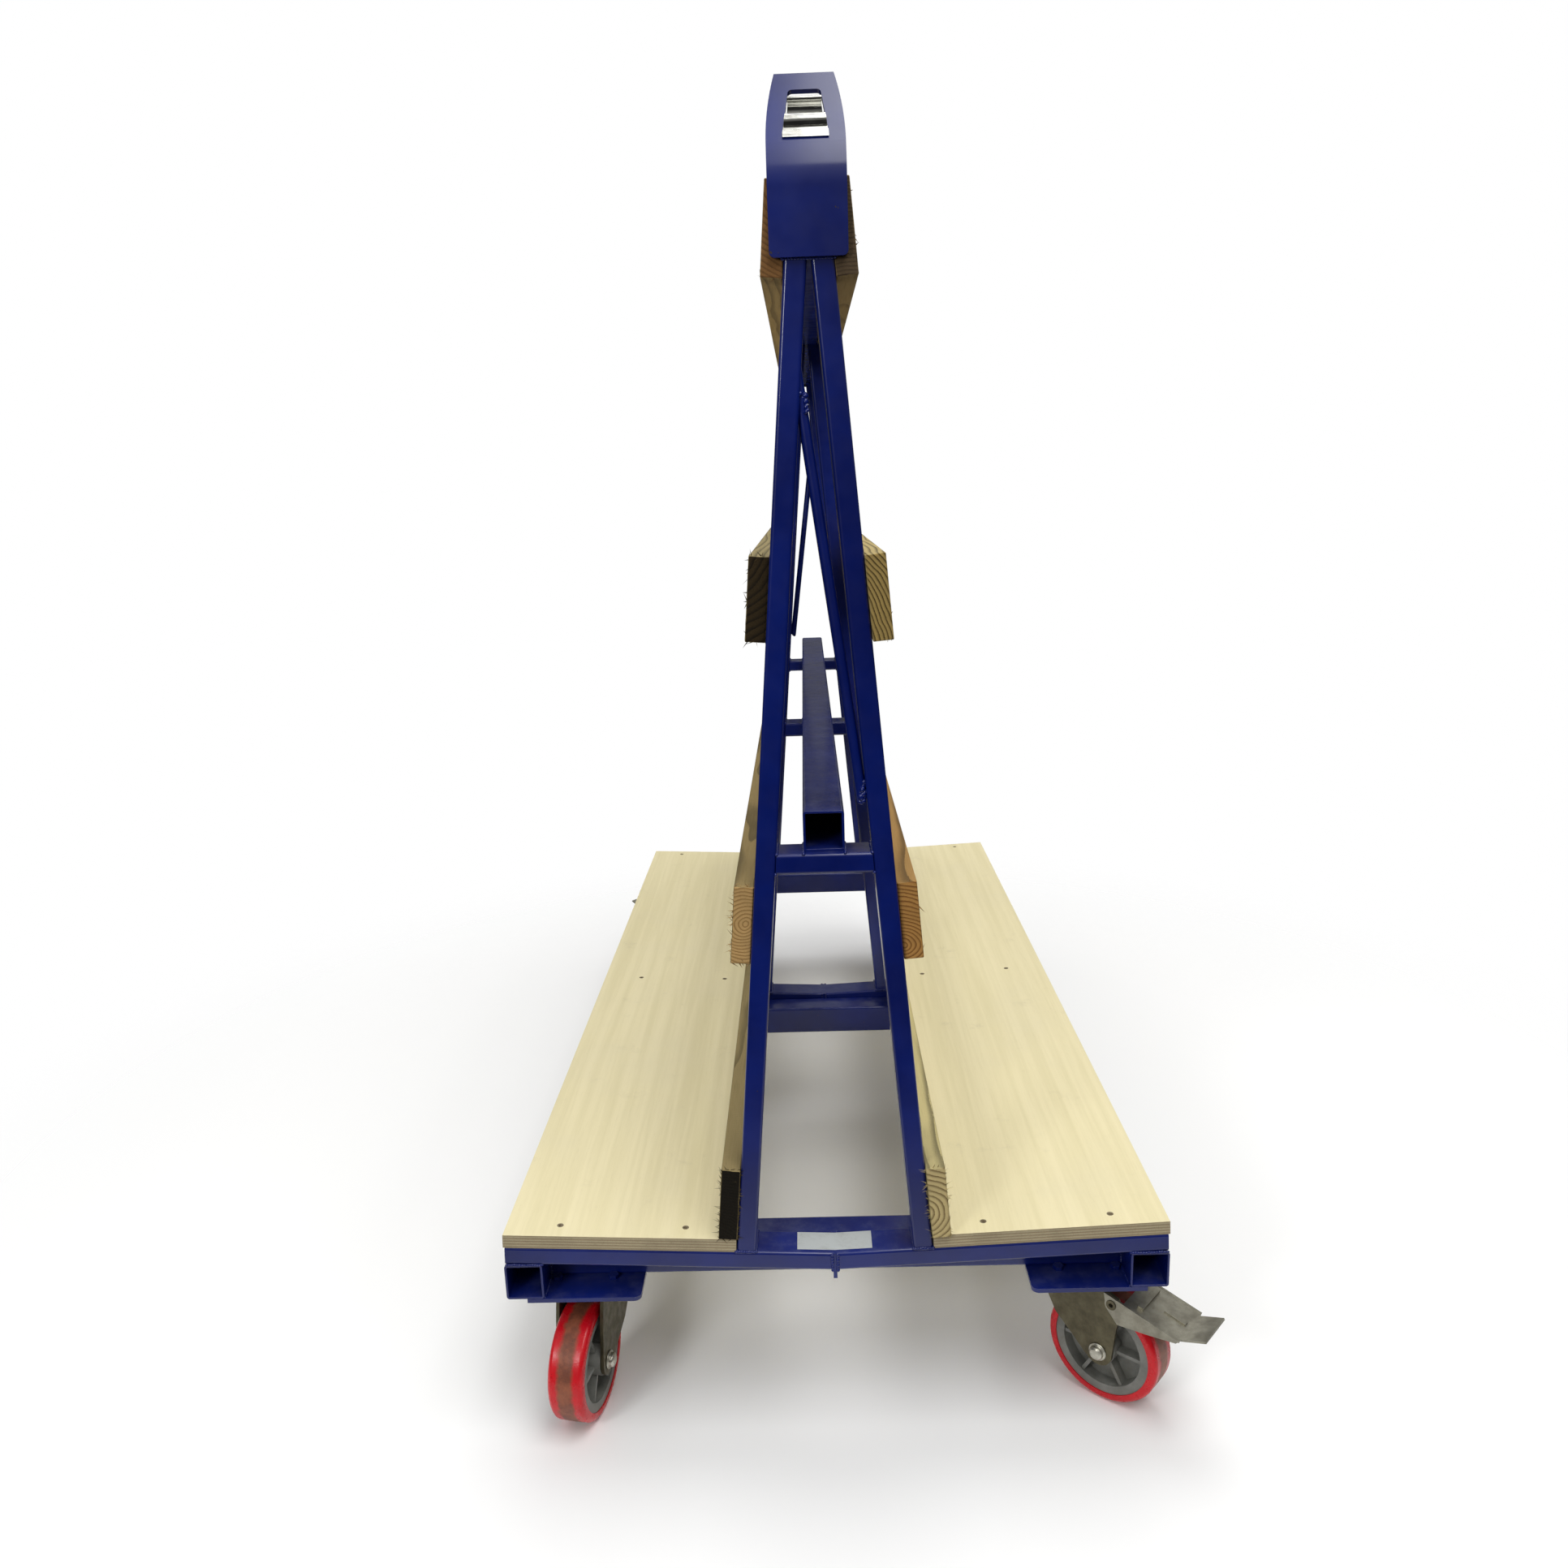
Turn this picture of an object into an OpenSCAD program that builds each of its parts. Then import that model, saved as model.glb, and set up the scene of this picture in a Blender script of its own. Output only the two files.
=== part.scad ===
// A-frame sheet and board trolley: two sloping plywood decks, a welded steel
// A-frame with timber battens, a strap head at each end and four swivel casters.
// Millimetres. +Z is up, the length runs along Y, the front end faces -Y,
// and the origin is on the floor at the middle of the trolley.

/* [Trolley] */
// Length over the decks
deck_len = 1750; // [1500:10:2000]
// Width over the decks' outer edges
deck_w = 866; // [840:2:900]
// Slope of each deck down to the middle, in degrees
deck_tilt = 2.5; // [1:0.5:3]
// Thickness of the plywood
ply_t = 18; // [15:1:21]

/* [Steel] */
// Side of the square tube
tube = 50; // [50:1:52]
// Thin side of the 50 mm rectangular tube
flat_tube = 25; // [24:1:26]
// Wall of the tubes
wall = 3; // [2:0.5:3]
// Lean of the A-frame's legs, in degrees
lean = 4.75; // [4.5:0.05:4.85]
// Half width over the legs at the height lean_z
leg_half = 125.4; // [125:0.1:128]
// Underside of the ridge beam
ridge_z = 1472; // [1440:1:1474]
// Top of the cross rungs, where the centre beam lies
rung_z = 804; // [790:1:820]

/* [Timber] */
// Face width of a batten
batten_w = 100; // [95:1:100]
// Thickness of a batten
batten_t = 25; // [20:1:26]

/* [Casters] */
// Height of a caster with its top plate
caster_h = 199; // [198:1:201]
// Diameter of the wheel
wheel_d = 160; // [156:1:160]
// Width of the wheel
wheel_w = 50; // [46:1:50]
// Distance of the swivel axes from the middle plane, across the trolley
caster_x = 336; // [334:1:336]
// Distance of the swivel axes from the ends of the decks
caster_in = 96; // [90:1:110]
// Heading of the braked wheels, degrees below the +X axis
braked_heading = 40; // [20:5:60]
// Heading of the plain wheels, degrees below the +X axis
plain_heading = 101; // [91:2:111]

/* [Hidden] */
$fn = 48;
half_len = deck_len / 2;
half_w = deck_w / 2;
lean_z = 290;
corner_r = 4;
inner_r = 1.5;
bracket_t = 6;
tube_top = caster_h + bracket_t + tube;
v_foot = tube_top - (half_w - tube) * tan(deck_tilt);
arm_len = (half_w - 2) / cos(deck_tilt);
joint_t = 5;
joint_drop = 11;
frame_y = [-half_len + tube / 2, 0, half_len - tube / 2];
frame_names = ["front", "middle", "rear"];
cross_y = [-half_len + 1.5 * tube, -tube, half_len - 1.5 * tube];
beam_front = -half_len + 12;
beam_rear = half_len + 22;
ridge_w = 40;
ridge_h = 50;
weld_gap = 0.5;
big = 3000;

// gap between a deck's inner edge and the legs, along the slope
deck_gap = 4;

// battens: height of each row's middle, and how far each board sits off centre;
// the top boards stop short of the strap heads
row_z = [337, 713, 1106, 1500];
right_shift = [-8, 8, -4, 0];
left_shift = [-3, 5, 16, 0];
head_clear = 1;
batten_screw_r = 2.5;
batten_screw_l = 42;
batten_head_r = 5;
batten_head_h = 3;

// deck screws: distances from the middle plane, one row over each cross member
deck_screw_x = [197, 362];
deck_screw_r = 2.2;
deck_screw_l = 30;
deck_head_r = 4.4;
deck_head_h = 2.8;

// braces: the upper end starts inside the leg and is cut back to its inner face
brace_d = 13;
brace_in = 12;
brace_top = [-18, -half_len + brace_in, 1362];
brace_foot = [47, -half_len + brace_in, 868];

head_t = 6;
head_half = 42.5;
head_corner_r = 6;
head_edge_r = 400;
head_z0 = 1471;
head_bend_z = 1542;
head_bend_r = 90;
head_lean = 30;
head_flat = 90;
head_lap = 1;
head_proud = 0.02;
window_low = 9;
window_high = 68;
window_low_half = 25;
window_high_half = 18;
window_r = 5;
strip_t = 2;
lip_drop = 5;
roll_r = 5;
nose_r = 9;
hollow_r = 12;
bead_r = 3;
guide_depth = -4;
side_gap = 0.4;

label_w = 100;
label_d = 38;
label_t = 0.4;
label_in = 8;

bracket_in = 256;
bracket_w = 150;
bracket_d = 172;
bracket_r = 10;
bolt_x = 38;
bolt_y = 52.5;
bolt_r = 4;
bolt_head_r = 7.2;
bolt_head_h = 5.3;
nut_h = 6.5;

plate_x = 110;
plate_y = 138;
plate_t = 5;
race_r = 42;
race_hole_r = 30;
race_h = 7;
king_r = 8;
king_flange_r = 14;
king_flange_h = 8;
run_gap = 0.3;
fit_gap = 0.06;
crown_r = 46;
crown_t = 5.7;
crown_top = caster_h - plate_t - race_h - run_gap;
trail = 50;
fork_t = 5;
fork_in = wheel_w / 2 + 4;
fork_out = fork_in + fork_t;
boss_r = 20;
axle_z = wheel_d / 2;
axle_r = 5;
sleeve_r = 10;
axle_head_r = 9.5;
axle_head_h = 7;
tyre_t = 12;
core_r = wheel_d / 2 - tyre_t;
rim_t = 12;
core_w = wheel_w - 4;
hub_r = 21;
hub_w = 2 * fork_in - 2;
web_t = 10;
rib_t = 5;
rib_count = 6;
shoulder_r = 8;
pedal_t = 3;
pedal_in = fork_out + run_gap;
pedal_out = pedal_in + pedal_t;
pin_r = 5;
pin_bore_r = 3;
pin_rim = 2;
pin_rim_t = 1;
pivot_s = 69;
pivot_z = 162;
pedal_s0 = 58;
pedal_z0 = 176.5;
pedal_s1 = 163;
pedal_z1 = 150;
pedal_slope = atan2(pedal_z0 - pedal_z1, pedal_s1 - pedal_s0);
pedal_run = norm([pedal_s1 - pedal_s0, pedal_z0 - pedal_z1]);
web_start = 28;
web_sink = 0.5;
rib_start = 72;
bump_start = 44;
toe_rise = 20;
toe_half = 30;
toe_l = 36;

CASTERS = [
  ["front_right", caster_x, -half_len + caster_in, -braked_heading],
  ["front_left", -caster_x, -half_len + caster_in, -plain_heading],
  ["rear_left", -caster_x, half_len - caster_in, 180 - braked_heading],
  ["rear_right", caster_x, half_len - caster_in, 180 - plain_heading],
];
BRAKED = [true, false, true, false];

// ---- tube sections and placing ----

// Rectangle with rounded corners, centred on the origin
module round_rect(w, h, r) {
  square([w - 2 * r, h], center = true);
  square([w, h - 2 * r], center = true);
  for (x = [-1, 1], y = [-1, 1])
    translate([x * (w / 2 - r), y * (h / 2 - r)]) circle(r);
}

// Cross-section of a hollow tube
module tube_ring(w, h) {
  difference() {
    round_rect(w, h, corner_r);
    round_rect(w - 2 * wall, h - 2 * wall, inner_r);
  }
}

// Square or flat tube along Y from y0 to y1, centred on x and z
module tube_along_y(w, h, x, z, y0, y1) {
  translate([x, y1, z]) rotate([90, 0, 0]) linear_extrude(y1 - y0) tube_ring(w, h);
}

// Tube along X from -half to half, depth w along Y and height h
module tube_along_x(w, h, y, z, half) {
  translate([-half, y, z]) rotate([90, 0, 90]) linear_extrude(2 * half) tube_ring(w, h);
}

// Puts a right-hand shape on the right (side 1) or its mirror image on the left
module on_side(side) {
  mirror([side < 0 ? 1 : 0, 0, 0]) children();
}

// Frame of one sloping arm: X runs outward along the slope, Z is square to it
module on_slope() {
  translate([0, 0, v_foot]) rotate([0, -deck_tilt, 0]) children();
}

// Frame of a leg's outer face: X points outward, Z runs up the leg
module on_leg() {
  translate([leg_half, 0, lean_z]) rotate([0, -lean, 0]) children();
}

// Distance up the leg for a height
function up_leg(z) = (z - lean_z) / cos(lean);

// Turns the rear end's copy of a front-end shape round to the back
module at_rear() {
  rotate([0, 0, 180]) children();
}

// ---- base frame ----

module side_tube(side) {
  color("navy") difference() {
    tube_along_y(tube, tube, side * (half_w - tube / 2), tube_top - tube / 2, -half_len, half_len);
    for (i = [0:3]) bracket_bolt_holes(i);
  }
}

module cross_tube(i) {
  color("navy") tube_along_x(tube, tube, cross_y[i], tube_top - tube / 2, half_w - tube);
}

// Two flat tubes that follow the decks' slope, welded to a joint plate in the middle
module v_member(i) {
  color("navy") {
    for (side = [-1, 1]) on_side(side) difference() {
      on_slope() translate([-10, frame_y[i], flat_tube / 2]) rotate([90, 0, 90])
        linear_extrude(arm_len + 10) tube_ring(tube, flat_tube);
      translate([-tube, frame_y[i] - tube, 0]) cube([tube + joint_t / 2, 2 * tube, big]);
      for (x = deck_screw_x) deck_screw(x, frame_y[i]);
    }
    translate([-joint_t / 2, frame_y[i] - tube / 2, v_foot - joint_drop])
      cube([joint_t, tube, joint_drop + flat_tube]);
  }
}

// Flat plate welded under the side tube, which carries one caster
module bracket_plate() {
  translate([bracket_in, -half_len, caster_h]) linear_extrude(bracket_t) difference() {
    union() {
      translate([bracket_r, 0]) square([bracket_w - bracket_r, bracket_d]);
      translate([0, bracket_r]) square([bracket_w, bracket_d - 2 * bracket_r]);
      for (y = [bracket_r, bracket_d - bracket_r]) translate([bracket_r, y]) circle(bracket_r);
    }
    for (x = [-1, 1], y = [-1, 1])
      translate([caster_x - bracket_in + x * bolt_x, caster_in + y * bolt_y]) circle(bolt_r);
  }
}

module caster_brackets() {
  color("navy") for (side = [-1, 1]) on_side(side) {
    bracket_plate();
    mirror([0, 1, 0]) bracket_plate();
  }
}

// Clearance cut round a caster's bolt heads
module bracket_bolt_holes(i) {
  for (x = [-1, 1], y = [-1, 1])
    translate([CASTERS[i][1] + x * bolt_x, CASTERS[i][2] + y * bolt_y, caster_h + bracket_t - 1])
      cylinder(h = bolt_head_h + 2, r = bolt_head_r + weld_gap);
}

// ---- A-frames ----

module leg(i, side) {
  color("navy") on_side(side) difference() {
    on_leg() translate([-flat_tube / 2, frame_y[i], -lean_z]) linear_extrude(2 * lean_z + ridge_z)
      tube_ring(flat_tube, tube);
    on_slope() translate([-tube, frame_y[i] - tube, flat_tube - big]) cube([big, 2 * tube, big]);
    translate([-tube, frame_y[i] - tube, ridge_z]) cube([big, 2 * tube, big]);
    for (row = [0:3]) batten_screw_pair(row, frame_y[i]);
  }
}

// Everything outside the legs' inner faces, to cut a piece that fits between them
module beyond_legs(y) {
  for (side = [-1, 1]) on_side(side) on_leg()
    translate([-flat_tube, y - tube, 0]) cube([big, 2 * tube, ridge_z]);
}

module frame_rungs() {
  color("navy") for (i = [0:2]) difference() {
    tube_along_x(tube, flat_tube, frame_y[i], rung_z - flat_tube / 2, leg_half);
    beyond_legs(frame_y[i]);
  }
}

module centre_beam() {
  color("navy") tube_along_y(tube, tube, 0, rung_z + tube / 2, beam_front, beam_rear);
}

module ridge_beam() {
  color("navy") difference() {
    tube_along_y(ridge_w, ridge_h, 0, ridge_z + ridge_h / 2, -half_len, half_len);
    for (side = [-1, 1], i = [0:2]) on_side(side) batten_screw_pair(3, frame_y[i]);
  }
}

// Round bar across the front A-frame, from the head of the left leg to the right leg
// just above the centre beam
module brace() {
  run = brace_foot - brace_top;
  color("navy") difference() {
    translate(brace_top) rotate([0, atan2(run[0], run[2]), 0])
      cylinder(h = norm(run), d = brace_d);
    beyond_legs(frame_y[0]);
  }
}

// ---- decks ----

// One deck board with its countersunk holes
module deck(side) {
  board_in = leg_half + deck_gap;
  color("wheat") on_side(side) difference() {
    on_slope() translate([board_in, -half_len, flat_tube])
      cube([half_w / cos(deck_tilt) - board_in, deck_len, ply_t]);
    for (x = deck_screw_x, y = frame_y) deck_screw(x, y);
  }
}

// Countersunk screw, its head flush with the face at z = 0
module csk_screw(head_r, head_h, shank_r, length) {
  translate([0, 0, -head_h]) cylinder(h = head_h, r1 = shank_r, r2 = head_r);
  translate([0, 0, -length]) cylinder(h = length, r = shank_r);
}

module deck_screw(x, y) {
  on_slope() translate([x / cos(deck_tilt), y, flat_tube + ply_t])
    csk_screw(deck_head_r, deck_head_h, deck_screw_r, deck_screw_l);
}

module deck_screws() {
  color("silver") for (side = [-1, 1], x = deck_screw_x, y = frame_y)
    on_side(side) deck_screw(x, y);
}

// ---- battens ----

// Sawn board along the outer faces of the legs
module batten(side, row) {
  shift = side > 0 ? right_shift[row] : left_shift[row];
  short = row == 3 ? head_clear : 0;
  color(row == 0 ? "darkkhaki" : "burlywood") on_side(side) difference() {
    on_leg() translate([0, shift - half_len + short, up_leg(row_z[row]) - batten_w / 2])
      cube([batten_t, deck_len - 2 * short, batten_w]);
    for (y = frame_y) batten_screw_pair(row, y);
  }
}

// Places of the two screws on one leg, measured up the leg from the row's middle
function screw_rise(row) = row < 3 ? [-28, 28] : [-38, 0];

module batten_screw_pair(row, y) {
  for (rise = screw_rise(row))
    on_leg() translate([batten_t, y, up_leg(row_z[row]) + rise]) rotate([0, 90, 0])
      csk_screw(batten_head_r, batten_head_h, batten_screw_r, batten_screw_l);
}

module batten_screws() {
  color("silver") for (side = [-1, 1], row = [0:3], y = frame_y)
    on_side(side) batten_screw_pair(row, y);
}

// ---- strap heads ----

// Side profile of the upright part and the bend: X is backward, Y is up
module head_profile() {
  translate([0, head_z0]) square([head_t, head_bend_z - head_z0]);
  translate([head_bend_r, head_bend_z]) intersection() {
    difference() {
      circle(head_bend_r, $fn = 96);
      circle(head_bend_r - head_t, $fn = 96);
    }
    rotate(180 - head_lean) square([2 * head_bend_r, 2 * head_bend_r]);
    translate([-2 * head_bend_r, 0]) square([2 * head_bend_r, 2 * head_bend_r]);
  }
}

// Outline of the upright part seen from the front, with its lower corners rounded
module head_foot_outline() {
  translate([-head_half, head_z0 + head_corner_r])
    square([2 * head_half, head_bend_z + head_bend_r - head_z0 - head_corner_r]);
  translate([-head_half + head_corner_r, head_z0])
    square([2 * (head_half - head_corner_r), 2 * head_corner_r]);
  for (side = [-1, 1])
    translate([side * (head_half - head_corner_r), head_z0 + head_corner_r]) circle(head_corner_r);
}

// Outline of the leaning part in its own plane: both edges draw in along one arc.
// It laps over the end of the bend and stands a hair proud of it all round.
module head_flat_outline() {
  half = head_half + head_proud;
  intersection() {
    translate([-half, -head_lap]) square([2 * half, head_flat + head_lap]);
    intersection_for (side = [-1, 1])
      translate([side * (half - head_edge_r), 0]) circle(head_edge_r, $fn = 180);
  }
}

// Strap window in the leaning part's own plane: a trapezium with round top corners
module window_shape(grow) {
  low = window_low_half + grow;
  high = window_high_half + grow;
  top = window_high + grow;
  polygon([[-low, window_low - grow], [low, window_low - grow],
           [high, top - window_r], [-high, top - window_r]]);
  translate([window_r - high, top - 2 * window_r]) square([2 * (high - window_r), 2 * window_r]);
  for (side = [-1, 1]) translate([side * (high - window_r), top - window_r]) circle(window_r);
}

// Frame of the leaning part: X across, Y up the slope from the bend, Z out of the face
module on_lean() {
  translate([0, head_bend_r - half_len - head_t, head_bend_z]) rotate([-head_lean, 0, 0])
    translate([0, -head_bend_r, 0]) rotate([90, 0, 0]) children();
}

module head_plate() {
  color("navy") difference() {
    union() {
      intersection() {
        translate([head_half + 1, -half_len - head_t, 0]) rotate([90, 0, -90]) mirror([1, 0, 0])
          linear_extrude(2 * head_half + 2) head_profile();
        translate([0, big / 2, 0]) rotate([90, 0, 0]) linear_extrude(big) head_foot_outline();
      }
      on_lean() translate([0, 0, -head_t - head_proud])
        linear_extrude(head_t + 2 * head_proud) head_flat_outline();
    }
    on_lean() translate([0, 0, -2 * head_t]) linear_extrude(4 * head_t) window_shape(0);
  }
}

// Half ring of strip that bulges to the front (turn 0) or to the back (turn 180)
module guide_arc(r, turn) {
  intersection() {
    difference() {
      circle(r);
      circle(r - strip_t);
    }
    rotate(turn) translate([-2 * r, 0]) square([4 * r, 2 * r]);
  }
}

// Side profile of the guide: X up the slope, Y out of the face. From the sill upward it is
// a lip in front of the plate, a small roll, a round nose, a hollow and a bead under the slot.
module guide_profile() {
  roll_v = window_low + strip_t + roll_r;
  nose_v = roll_v + roll_r - strip_t + nose_r;
  hollow_v = nose_v + nose_r - strip_t + hollow_r;
  translate([window_low - lip_drop, 0]) square([lip_drop + 2 * strip_t, strip_t]);
  translate([window_low + strip_t, guide_depth]) square([strip_t, strip_t - guide_depth]);
  translate([roll_v, guide_depth]) guide_arc(roll_r, 0);
  translate([nose_v, guide_depth]) guide_arc(nose_r, 0);
  translate([hollow_v, guide_depth]) guide_arc(hollow_r, 180);
  translate([hollow_v + hollow_r - strip_t / 2, guide_depth + bead_r / 2]) circle(bead_r);
}

// Polished strip that lines the window and is hooked over its sill
module strap_guide() {
  color("silver") intersection() {
    on_lean() translate([-head_half, 0, 0]) rotate([90, 0, 90])
      linear_extrude(2 * head_half) guide_profile();
    on_lean() translate([0, 0, -big / 2]) linear_extrude(big) {
      window_shape(-side_gap);
      translate([side_gap - window_low_half, window_low - 2 * lip_drop])
        square([2 * (window_low_half - side_gap), 2 * lip_drop + 2 * side_gap]);
    }
  }
}

module strap_guides() {
  strap_guide();
  at_rear() strap_guide();
}

// ---- label ----

// Blank label folded over the front member's top
module label() {
  color("white") for (side = [-1, 1]) on_side(side) difference() {
    on_slope() translate([-5, -half_len + label_in, flat_tube])
      cube([label_w / 2 + 5, label_d, label_t]);
    translate([-tube, -half_len, 0]) cube([tube, tube, big]);
  }
}

// ---- casters ----
// A caster's own frame: origin on the floor under the swivel axis,
// the wheel trails along +X and the axle runs along Y.

module at_caster(i) {
  translate([CASTERS[i][1], CASTERS[i][2], 0]) rotate([0, 0, CASTERS[i][3]]) children();
}

// One M8 bolt with its nut, through the bracket and the top plate
module caster_bolt() {
  grip = bracket_t + plate_t;
  nut_z = caster_h - plate_t - nut_h;
  translate([0, 0, caster_h + bracket_t]) cylinder(h = bolt_head_h, r = bolt_head_r, $fn = 6);
  translate([0, 0, nut_z]) cylinder(h = grip + nut_h + bolt_head_h / 2, r = bolt_r);
  translate([0, 0, nut_z]) cylinder(h = nut_h, r = bolt_head_r, $fn = 6);
}

module caster_bolts() {
  color("silver") for (i = [0:3], x = [-1, 1], y = [-1, 1])
    translate([CASTERS[i][1] + x * bolt_x, CASTERS[i][2] + y * bolt_y, 0]) caster_bolt();
}

// Top plate with the upper race and the riveted king pin
module top_plate(i) {
  color("gainsboro") translate([CASTERS[i][1], CASTERS[i][2], 0]) {
    translate([0, 0, caster_h - plate_t]) linear_extrude(plate_t) difference() {
      round_rect(plate_x, plate_y, 12);
      for (x = [-1, 1], y = [-1, 1]) translate([x * bolt_x, y * bolt_y]) circle(bolt_r);
    }
    translate([0, 0, caster_h - plate_t - race_h]) difference() {
      cylinder(h = race_h, r = race_r);
      translate([0, 0, -1]) cylinder(h = race_h + 1, r = race_hole_r);
    }
    king_foot = crown_top - crown_t - run_gap - king_flange_h;
    translate([0, 0, king_foot]) cylinder(h = caster_h - plate_t - king_foot, r = king_r);
    translate([0, 0, king_foot]) cylinder(h = king_flange_h, r = king_flange_r);
  }
}

// Side outline of a fork leg: X along the trail, Y up
module fork_outline(braked) {
  top = crown_top;
  circle_at_axle(boss_r);
  polygon(braked
    ? [[-38, top], [-27, 138], [-14, 113], [8, 93], [trail - 17, axle_z - 12],
       [trail + boss_r, axle_z], [75, 122], [79, 143], [82, 156], [77, 171], [60, 177], [52, top]]
    : [[-44, top], [-42, 118], [-20, 96], [8, 82], [trail - 17, axle_z - 12],
       [trail + boss_r, axle_z], [62, 140], [52, top]]);
}

module circle_at_axle(r) {
  translate([trail, axle_z]) circle(r);
}

// Crown disc with two legs beside the wheel
module fork(i) {
  color("darkkhaki") at_caster(i) difference() {
    union() {
      translate([0, 0, crown_top - crown_t]) cylinder(h = crown_t, r = crown_r);
      translate([-40, -fork_out, crown_top - crown_t]) cube([92, 2 * fork_out, crown_t]);
      for (side = [0, 1]) mirror([0, side, 0]) translate([0, fork_out, 0]) rotate([90, 0, 0])
        linear_extrude(fork_t) fork_outline(BRAKED[i]);
      if (BRAKED[i]) pedal_pins();
    }
    translate([0, 0, crown_top - 2 * crown_t]) cylinder(h = 3 * crown_t, r = king_r + fit_gap);
    translate([trail, 0, axle_z]) rotate([90, 0, 0]) cylinder(h = 4 * fork_out, r = axle_r, center = true);
    if (BRAKED[i]) translate([pivot_s, 0, pivot_z]) rotate([90, 0, 0])
      cylinder(h = 4 * fork_out, r = pin_bore_r, center = true);
  }
}

// Tubular rivets that the pedal turns on, one through each leg
module pedal_pins() {
  reach = pedal_out + run_gap + pin_rim_t;
  for (side = [0, 1]) mirror([0, side, 0])
    translate([pivot_s, reach, pivot_z]) rotate([90, 0, 0]) {
      cylinder(h = reach - fork_in, r = pin_r);
      cylinder(h = pin_rim_t, r = pin_r + pin_rim);
    }
}

// Bolt with a domed head and nut, and the sleeve that the hub turns on
module axle(i) {
  reach = fork_out + axle_head_h;
  color("silver") at_caster(i) translate([trail, 0, axle_z]) rotate([90, 0, 0]) {
    cylinder(h = 2 * fork_out, r = axle_r, center = true);
    cylinder(h = 2 * fork_in, r = sleeve_r, center = true);
    for (side = [-1, 1]) translate([0, 0, side * (fork_out + 1)]) cylinder(h = 2, r = axle_head_r + 3, center = true);
    for (side = [0, 1]) mirror([0, 0, side]) translate([0, 0, fork_out + 2]) intersection() {
      cylinder(h = axle_head_h, r = axle_head_r);
      translate([0, 0, -5]) sphere(r = 13.5);
    }
  }
}

// Moulded core of the wheel: rim, web, hub and six ribs
module core(i) {
  color("dimgray") at_caster(i) translate([trail, 0, axle_z]) rotate([90, 0, 0]) difference() {
    union() {
      difference() {
        cylinder(h = core_w, r = core_r, center = true, $fn = 96);
        cylinder(h = core_w + 1, r = core_r - rim_t, center = true, $fn = 96);
      }
      cylinder(h = web_t, r = core_r - rim_t + 1, center = true, $fn = 96);
      cylinder(h = hub_w, r = hub_r, center = true);
      for (k = [0:rib_count - 1]) rotate(k * 360 / rib_count)
        translate([hub_r - 3, -rib_t / 2, -core_w / 2 + 3])
          cube([core_r - rim_t - hub_r + 4, rib_t, core_w - 6]);
    }
    cylinder(h = hub_w + 1, r = sleeve_r + fit_gap, center = true);
  }
}

// Polyurethane tyre bonded to the core, its shoulders rounded
module tyre(i) {
  tread = wheel_d / 2;
  color("red") at_caster(i) translate([trail, 0, axle_z]) rotate([90, 0, 0])
    rotate_extrude($fn = 96) intersection() {
      translate([core_r, -wheel_w / 2]) square([tyre_t, wheel_w]);
      union() {
        translate([core_r, -wheel_w / 2]) square([tyre_t - shoulder_r, wheel_w]);
        translate([core_r, -wheel_w / 2 + shoulder_r]) square([tyre_t, wheel_w - 2 * shoulder_r]);
        for (side = [-1, 1])
          translate([tread - shoulder_r, side * (wheel_w / 2 - shoulder_r)]) circle(shoulder_r);
      }
    }
}

// Side wall of the pedal, seen along the axle
module pedal_side() {
  polygon([[pedal_s0, pedal_z0], [pedal_s1, pedal_z1], [159, 146], [116, 140], [78, 136],
           [pivot_s - 8, pivot_z - 6]]);
  translate([pivot_s, pivot_z]) circle(9.5);
}

// Brake pedal: a channel over the wheel with a stiffening rib, a cross bump and an upturned toe
module pedal(i) {
  color("gainsboro") at_caster(i) difference() {
    union() {
      for (side = [0, 1]) mirror([0, side, 0]) translate([0, pedal_out, 0]) rotate([90, 0, 0])
        linear_extrude(pedal_t) pedal_side();
      translate([pedal_s0, 0, pedal_z0]) rotate([0, pedal_slope, 0]) {
        translate([web_start, -pedal_in - web_sink, -pedal_t - web_sink])
          cube([pedal_run - web_start, 2 * (pedal_in + web_sink), pedal_t]);
        translate([rib_start, -4, -pedal_t]) cube([30, 8, pedal_t + 2]);
        translate([bump_start, -26, -pedal_t]) cube([8, 52, pedal_t + 4]);
      }
      translate([pedal_s1 - 2, 0, pedal_z1 - 1]) rotate([0, -toe_rise, 0])
        translate([0, -toe_half, -pedal_t]) cube([toe_l, 2 * toe_half, pedal_t]);
    }
    translate([pivot_s, 0, pivot_z]) rotate([90, 0, 0])
      cylinder(h = 4 * pedal_out, r = pin_r + fit_gap, center = true);
  }
}

side_tube(-1);  // side_tube_left
side_tube(1);  // side_tube_right
cross_tube(0);  // front_cross_tube
cross_tube(1);  // middle_cross_tube
cross_tube(2);  // rear_cross_tube
v_member(0);  // front_v_member
v_member(1);  // middle_v_member
v_member(2);  // rear_v_member
leg(0, -1);  // front_leg_left
leg(0, 1);  // front_leg_right
leg(1, -1);  // middle_leg_left
leg(1, 1);  // middle_leg_right
leg(2, -1);  // rear_leg_left
leg(2, 1);  // rear_leg_right
frame_rungs();
centre_beam();
ridge_beam();
brace();  // front_brace
at_rear() brace();  // rear_brace
caster_brackets();
deck(-1);  // deck_left
deck(1);  // deck_right
batten(-1, 0);  // left_batten_1
batten(-1, 1);  // left_batten_2
batten(-1, 2);  // left_batten_3
batten(-1, 3);  // left_batten_4
batten(1, 0);  // right_batten_1
batten(1, 1);  // right_batten_2
batten(1, 2);  // right_batten_3
batten(1, 3);  // right_batten_4
head_plate();  // front_head_plate
at_rear() head_plate();  // rear_head_plate
strap_guides();
label();
deck_screws();
batten_screws();
caster_bolts();
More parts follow.
